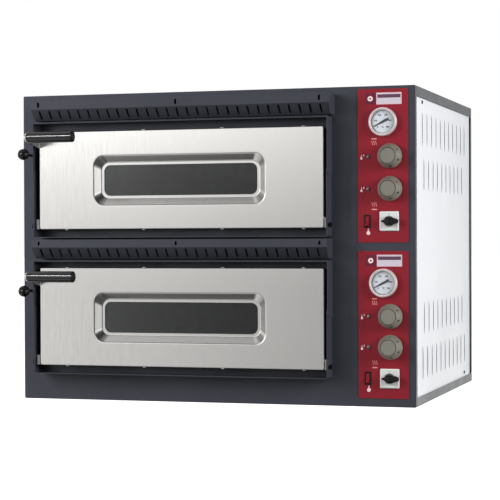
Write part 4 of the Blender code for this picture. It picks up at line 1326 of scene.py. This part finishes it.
def lamp_switch(deck):
    """The rocker in its framed housing."""
    node = f"rocker_housing_{deck}"
    low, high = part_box(node)
    matrix = on_panel(node)
    out = PANEL_FACE - low.y
    back = PANEL_FACE - high.y
    layers = [(0.0010, back), (0.0010, GAP), (0, GAP), (0, out * 0.6), (0.0007, out)]
    layers += [(0.0030, out), (0.0034, out - 0.0006), (0.0034, -0.009)]
    shell = facing_out(loft(stacked(*half_size(node), 0.0012, layers, 4)))
    piece(f"{node}_frame", placed(shell, matrix), "black_plastic", stands_for=[node])
    body = f"rocker_{deck}"
    tilted = placed(paddle(), matrix @ Matrix.Rotation(math.radians(-ROCKER_TILT), 4, "X"))
    piece(f"{body}_paddle", tilted, "red_plastic", body, [body])


def indicator_lamps(deck):
    """Small smoked domes in dark collars, one beside each thermostat knob."""
    collars, lenses = [], []
    for place in lamp_places(deck):
        matrix = spot("front", place)
        collar = [(0.0040, 0.0006, 0), (0.0042, 0.0014, 0.0004), (0.0050, 0.0012, 0.0006)]
        collar += [(LAMP_HOLE, 0.0001, 0), (0.0044, 0.0001, 0), (0.0041, -0.012, 0), (0.0038, -0.012, 0)]
        collar.append(collar[0])
        collars.append(placed(turned(rounded_line(collar, 3), 32), matrix))
        lens = [(0, 0.0040), *arc((0, 0.0002), 0.0038, 70, 0, 8), (0.0038, -0.008), (0, -0.008)]
        lenses.append(placed(turned(lens, 32), matrix))
    piece(f"lamp_collars_{deck}", joined(collars), "bright_steel", finish=COLLAR_METAL)
    piece(f"lamp_lenses_{deck}", joined(lenses), "clear_glass", finish=SMOKED_LENS)


# ---------------------------------------------------------------- printing on the red panels
WAVE_PITCH = 0.0045
HEAT_SIGN_RIGHT_OF_ROCKER = 0.0164
HEAT_SIGN_ABOVE_KNOB = {"top": 0.0403, "base": -0.0478}
# Each printed drop: the radius of its bulb, its height, and how far right and up it is.
DROPS_FROM_LAMP = ((0.0027, 0.0092, -0.0158, -0.0048), (0.0013, 0.0042, -0.0104, 0.0016))
DROP_FROM_ROCKER = (0.0045, 0.0105, 0.0020, -0.0272)


def flat_print(outline, middle):
    return placed(extruded(outline, 0, PRINT), Matrix.Translation((*middle, 0)))


def wave(height, width):
    """One rising wavy line, for the heat signs."""
    sway = 0.0011
    steps = 14
    parts = [i / steps for i in range(steps + 1)]
    centre = [(sway * math.sin(math.tau * part), height * (part - 0.5)) for part in parts]
    return [(u - width / 2, v) for u, v in centre] + [(u + width / 2, v) for u, v in reversed(centre)]


def heat_sign(middle, from_top):
    """A bar for the heating side, with three waves of heat below it or above it."""
    u, v = middle
    rise = -0.0095 if from_top else 0.0115
    shapes = [flat_print(rectangle(0.0062, 0.0014, 0.0012), (u, v))]
    for i in (-1, 0, 1):
        shapes.append(flat_print(wave(0.0100, 0.0013), (u + i * WAVE_PITCH, v + rise)))
    return shapes


def drop(radius, height, across, up, origin):
    """A round bulb that narrows to a stem, printed at an offset from a control's middle."""
    shoulder = 58
    outline = arc((0, 0), radius, 90 + shoulder, 450 - shoulder, 20)
    right = [(radius * 0.22, height * 0.55), (radius * 0.16, height)]
    outline += right + [(-u, v) for u, v in reversed(right)]
    return flat_print(outline, (origin[0] + across, origin[1] + up))


def panel_printing(deck):
    """Signs for heat, temperature and light, beside the controls they belong to."""
    matrix = spot("front", (0, PANEL_FACE, 0))
    rocker = middle_of(f"rocker_housing_{deck}")
    lamp_x = lamp_places(deck)[0][0]
    heat, drops = [], []
    for kind, rise in HEAT_SIGN_ABOVE_KNOB.items():
        knob_z = middle_of(f"{kind}_heat_knob_{deck}").z
        heat += heat_sign((rocker.x + HEAT_SIGN_RIGHT_OF_ROCKER, knob_z + rise), kind == "top")
        drops += [drop(*sizes, (lamp_x, knob_z)) for sizes in DROPS_FROM_LAMP]
    drops.append(drop(*DROP_FROM_ROCKER, (rocker.x, rocker.z)))
    piece(f"panel_signs_{deck}", placed(joined(drops), matrix), "white_paint", finish=WHITE_INK)
    piece(f"panel_heat_signs_{deck}", placed(joined(heat), matrix), "white_paint", finish=PINK_INK)


LABEL_FROM_GAUGE = (-0.0160, 0.0436)
LABEL_TOP = {"upper": 0.7290, "lower": 0.3535}
LABEL_HALF_HEIGHT = 0.0137
LABEL_SHEET = 0.0006
SQUARE_FROM_LABEL = -0.0140
RING_FROM_LABEL = -0.0145
LABEL_EDGE = ((0.0004, 0), (0.0004, PRINT), (0.0021, PRINT), (0.0021, 0))


def label(deck):
    """A blank metal plate with one plain band, and a plain ring on a dark square beside it."""
    gauge = middle_of(f"thermometer_case_{deck}")
    low_u, high_u = (gauge.x + offset for offset in LABEL_FROM_GAUGE)
    half_u, half_v = (high_u - low_u) / 2, LABEL_HALF_HEIGHT
    left = spot("front", (low_u, PANEL_FACE, LABEL_TOP[deck] - half_v))
    middle = left @ Matrix.Translation((half_u, 0, 0))
    face = middle @ Matrix.Translation((0, 0, LABEL_SHEET))
    sheet = plate(half_u, half_v, 0.0010, 0, LABEL_SHEET, 0.0002)
    piece(f"label_plate_{deck}", placed(sheet, middle), "bright_steel", finish=LABEL_METAL)
    rim = stacked(half_u, half_v, 0.0006, LABEL_EDGE, 6)
    rim = loft([*rim, rim[0]], (False, False))
    piece(f"label_rim_{deck}", placed(rim, face), "white_paint", finish=LABEL_RIM)
    band = flat_print(rectangle(half_u - 0.0026, 0.0040, 0.0006), (0, 0.0056))
    piece(f"label_band_{deck}", placed(band, face), "black_plastic", finish=PLUM_INK)
    square = flat_print(rectangle(0.0125, half_v - 0.0010, 0.0006), (SQUARE_FROM_LABEL, 0))
    piece(f"label_square_{deck}", placed(square, left), "red_paint", finish=MAROON_INK)
    ring = [(0.0022, PRINT), (0.0022, 2 * PRINT), (0.0062, 2 * PRINT), (0.0062, PRINT)]
    ring = placed(turned([*ring, ring[0]], 48), Matrix.Translation((RING_FROM_LABEL, 0, 0)))
    piece(f"label_ring_{deck}", placed(ring, left), "white_paint", finish=WHITE_INK)


# ---------------------------------------------------------------- studio
CAMERA_PLACE = (1.27129, -4.22659, 0.39455)
CAMERA_YAW = 16.865
CAMERA_PITCH = -0.417
CAMERA_ROLL = -0.228
CAMERA_LENS = 123.38


def camera():
    data = bpy.data.cameras.new("camera")
    data.lens = CAMERA_LENS
    data.sensor_width = 36
    made = bpy.data.objects.new("camera", data)
    pitch = Matrix.Rotation(math.radians(90 + CAMERA_PITCH), 4, "X")
    made.matrix_world = Matrix.Translation(CAMERA_PLACE) @ turn(CAMERA_YAW) @ pitch @ turn(CAMERA_ROLL)
    bpy.context.scene.collection.objects.link(made)
    bpy.context.scene.camera = made


def softbox(name, place, size, power, only=()):
    """A soft light that nothing mirrors, or one that only a few pieces catch and mirror."""
    data = bpy.data.lights.new(name, "AREA")
    data.shape = "RECTANGLE"
    data.size, data.size_y = size
    data.energy = power
    made = bpy.data.objects.new(name, data)
    aim = middle_of("front_panel") - Vector(place)
    made.matrix_world = Matrix.Translation(place) @ aim.to_track_quat("-Z", "Y").to_matrix().to_4x4()
    if only:
        lit = bpy.data.collections.new(f"{name}_lights")
        for target in only:
            lit.objects.link(target)
        made.light_linking.receiver_collection = lit
    made.visible_glossy = bool(only)
    bpy.context.scene.collection.objects.link(made)


def floor():
    shape = bmesh.new()
    bmesh.ops.create_grid(shape, x_segments=1, y_segments=1, size=30)
    data = bpy.data.meshes.new("floor")
    shape.to_mesh(data)
    shape.free()
    made = bpy.data.objects.new("floor", data)
    made.location.z = -0.0005
    made.visible_diffuse = False
    made.visible_glossy = False
    made.visible_transmission = False
    made.visible_shadow = False
    bpy.context.scene.collection.objects.link(made)
    paper = Finish("studio_paper", (0.9, 0.9, 0.9), 0.8)
    paper.set("Emission Color", (1, 1, 1, 1))
    paper.set("Emission Strength", 0.9)
    data.materials.append(paper.material)
    made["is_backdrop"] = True


# What a mirror would see of the studio: brightness by the slope of the ray along one axis, -1 to 1.
MIRROR_GAIN = 2.8
SEEN_ACROSS = (
    (-1.0, 0.45), (-0.75, 0.55), (-0.50, 1.0), (-0.40, 1.0), (-0.33, 0.53), (-0.26, 0.32),
    (-0.15, 0.20), (-0.05, 0.26), (0.10, 0.26), (0.22, 0.05), (0.5, 0.04), (0.78, 0.12),
    (0.85, 1.0), (1.0, 1.0),
)
SEEN_UP = (
    (-0.97, 0.05), (-0.90, 0.07), (-0.84, 0.38), (-0.50, 0.38), (-0.35, 0.10), (-0.20, 0.25),
    (-0.10, 0.44), (-0.045, 0.47), (-0.02, 0.44), (0.006, 0.55), (0.03, 0.59), (0.06, 0.90),
    (0.10, 1.0), (0.18, 1.0), (0.30, 0.30), (0.6, 0.15), (1.0, 0.45),
)
SEEN_BEHIND = ((0.35, 0.0), (0.7, 1.0))
SEEN_BEHIND_UP = ((-0.06, 0.54), (0.04, 0.27))
LIT_UP = ((-1.0, 0.24), (-0.2, 0.12), (0.1, 0.20), (1.0, 0.24))


def surroundings():
    """White to the camera, shaped light to mirrors, and plain dim light to everything else."""
    world = bpy.data.worlds.new("studio")
    bpy.context.scene.world = world
    world.use_nodes = True
    nodes, links = world.node_tree.nodes, world.node_tree.links
    nodes.clear()
    place = nodes.new("ShaderNodeTexCoord")
    parts = nodes.new("ShaderNodeSeparateXYZ")
    links.new(place.outputs["Generated"], parts.inputs[0])

    def graded(axis, stops):
        """Brightness along one axis, straight between its stops."""
        span = nodes.new("ShaderNodeMapRange")
        span.inputs["From Min"].default_value = -1.0
        links.new(parts.outputs[axis], span.inputs["Value"])
        ramp = nodes.new("ShaderNodeValToRGB")
        while len(ramp.color_ramp.elements) < len(stops):
            ramp.color_ramp.elements.new(0.5)
        for element, (slope, grey) in zip(ramp.color_ramp.elements, stops):
            element.position = (slope + 1) / 2
            element.color = (grey, grey, grey, 1)
        links.new(span.outputs["Result"], ramp.inputs["Fac"])
        return ramp.outputs["Color"]

    def combined(kind, first, second):
        node = nodes.new("ShaderNodeMath")
        node.operation = kind
        for socket, source in zip(node.inputs, (first, second)):
            if isinstance(source, float):
                socket.default_value = source
            else:
                links.new(source, socket)
        return node.outputs[0]

    def background(strength):
        node = nodes.new("ShaderNodeBackground")
        node.inputs["Color"].default_value = (1, 1, 1, 1)
        if isinstance(strength, float):
            node.inputs["Strength"].default_value = strength
        else:
            links.new(strength, node.inputs["Strength"])
        return node.outputs[0]

    path = nodes.new("ShaderNodeLightPath")

    def chosen(ray, otherwise, shader):
        node = nodes.new("ShaderNodeMixShader")
        links.new(path.outputs[ray], node.inputs[0])
        links.new(otherwise, node.inputs[1])
        links.new(shader, node.inputs[2])
        return node.outputs[0]

    in_front = combined("MULTIPLY", graded("X", SEEN_ACROSS), graded("Z", SEEN_UP))
    behind = combined("MULTIPLY", graded("Y", SEEN_BEHIND), graded("Z", SEEN_BEHIND_UP))
    mirrored = combined("MULTIPLY", combined("MAXIMUM", in_front, behind), MIRROR_GAIN)
    shader = chosen("Is Glossy Ray", background(graded("Z", LIT_UP)), background(mirrored))
    out = nodes.new("ShaderNodeOutputWorld")
    links.new(chosen("Is Camera Ray", shader, background(1.0)), out.inputs[0])


def named(*words):
    """The pieces whose names hold any of some words."""
    return [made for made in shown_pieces() if any(word in made.name for word in words)]


def studio():
    camera()
    floor()
    surroundings()
    softbox("right_softbox", (3.3, -1.55, 1.25), (1.2, 1.7), 108)
    softbox("left_softbox", (-2.3, -2.4, 1.35), (1.2, 1.7), 94)
    grips = named("handle_grip", "vent_knob")
    for grip in grips:
        grip.visible_glossy = False
    softbox("grip_strip", (-1.3, -3.0, 1.50), (0.8, 0.26), 30, grips)
    softbox("knob_bounce", (0.7, -1.2, -1.1), (0.8, 0.5), 6, named("heat_knob"))
    bpy.context.scene.view_settings.view_transform = "Standard"


# ---------------------------------------------------------------- making
def keep_flats_flat():
    """Stops smooth shading from bending broad flat faces towards their rounded edges."""
    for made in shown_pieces():
        if made.name not in frame["nodes"]:
            step = made.modifiers.new("flat_faces", "WEIGHTED_NORMAL")
            step.keep_sharp = True


paint_frame()
front_panel()
top_cover()
base_tray()
rear_panel()
side_panels()
cable_gland()
for DECK in DECKS:
    hood(DECK)
    door_surround(DECK)
    door(DECK)
    vent_pull(DECK)
    control_panel(DECK)
    thermometer(DECK)
    for KIND in ("top", "base"):
        thermostat_knob(DECK, KIND)
    switch(DECK)
    lamp_switch(DECK)
    indicator_lamps(DECK)
    panel_printing(DECK)
    label(DECK)
keep_flats_flat()
studio()
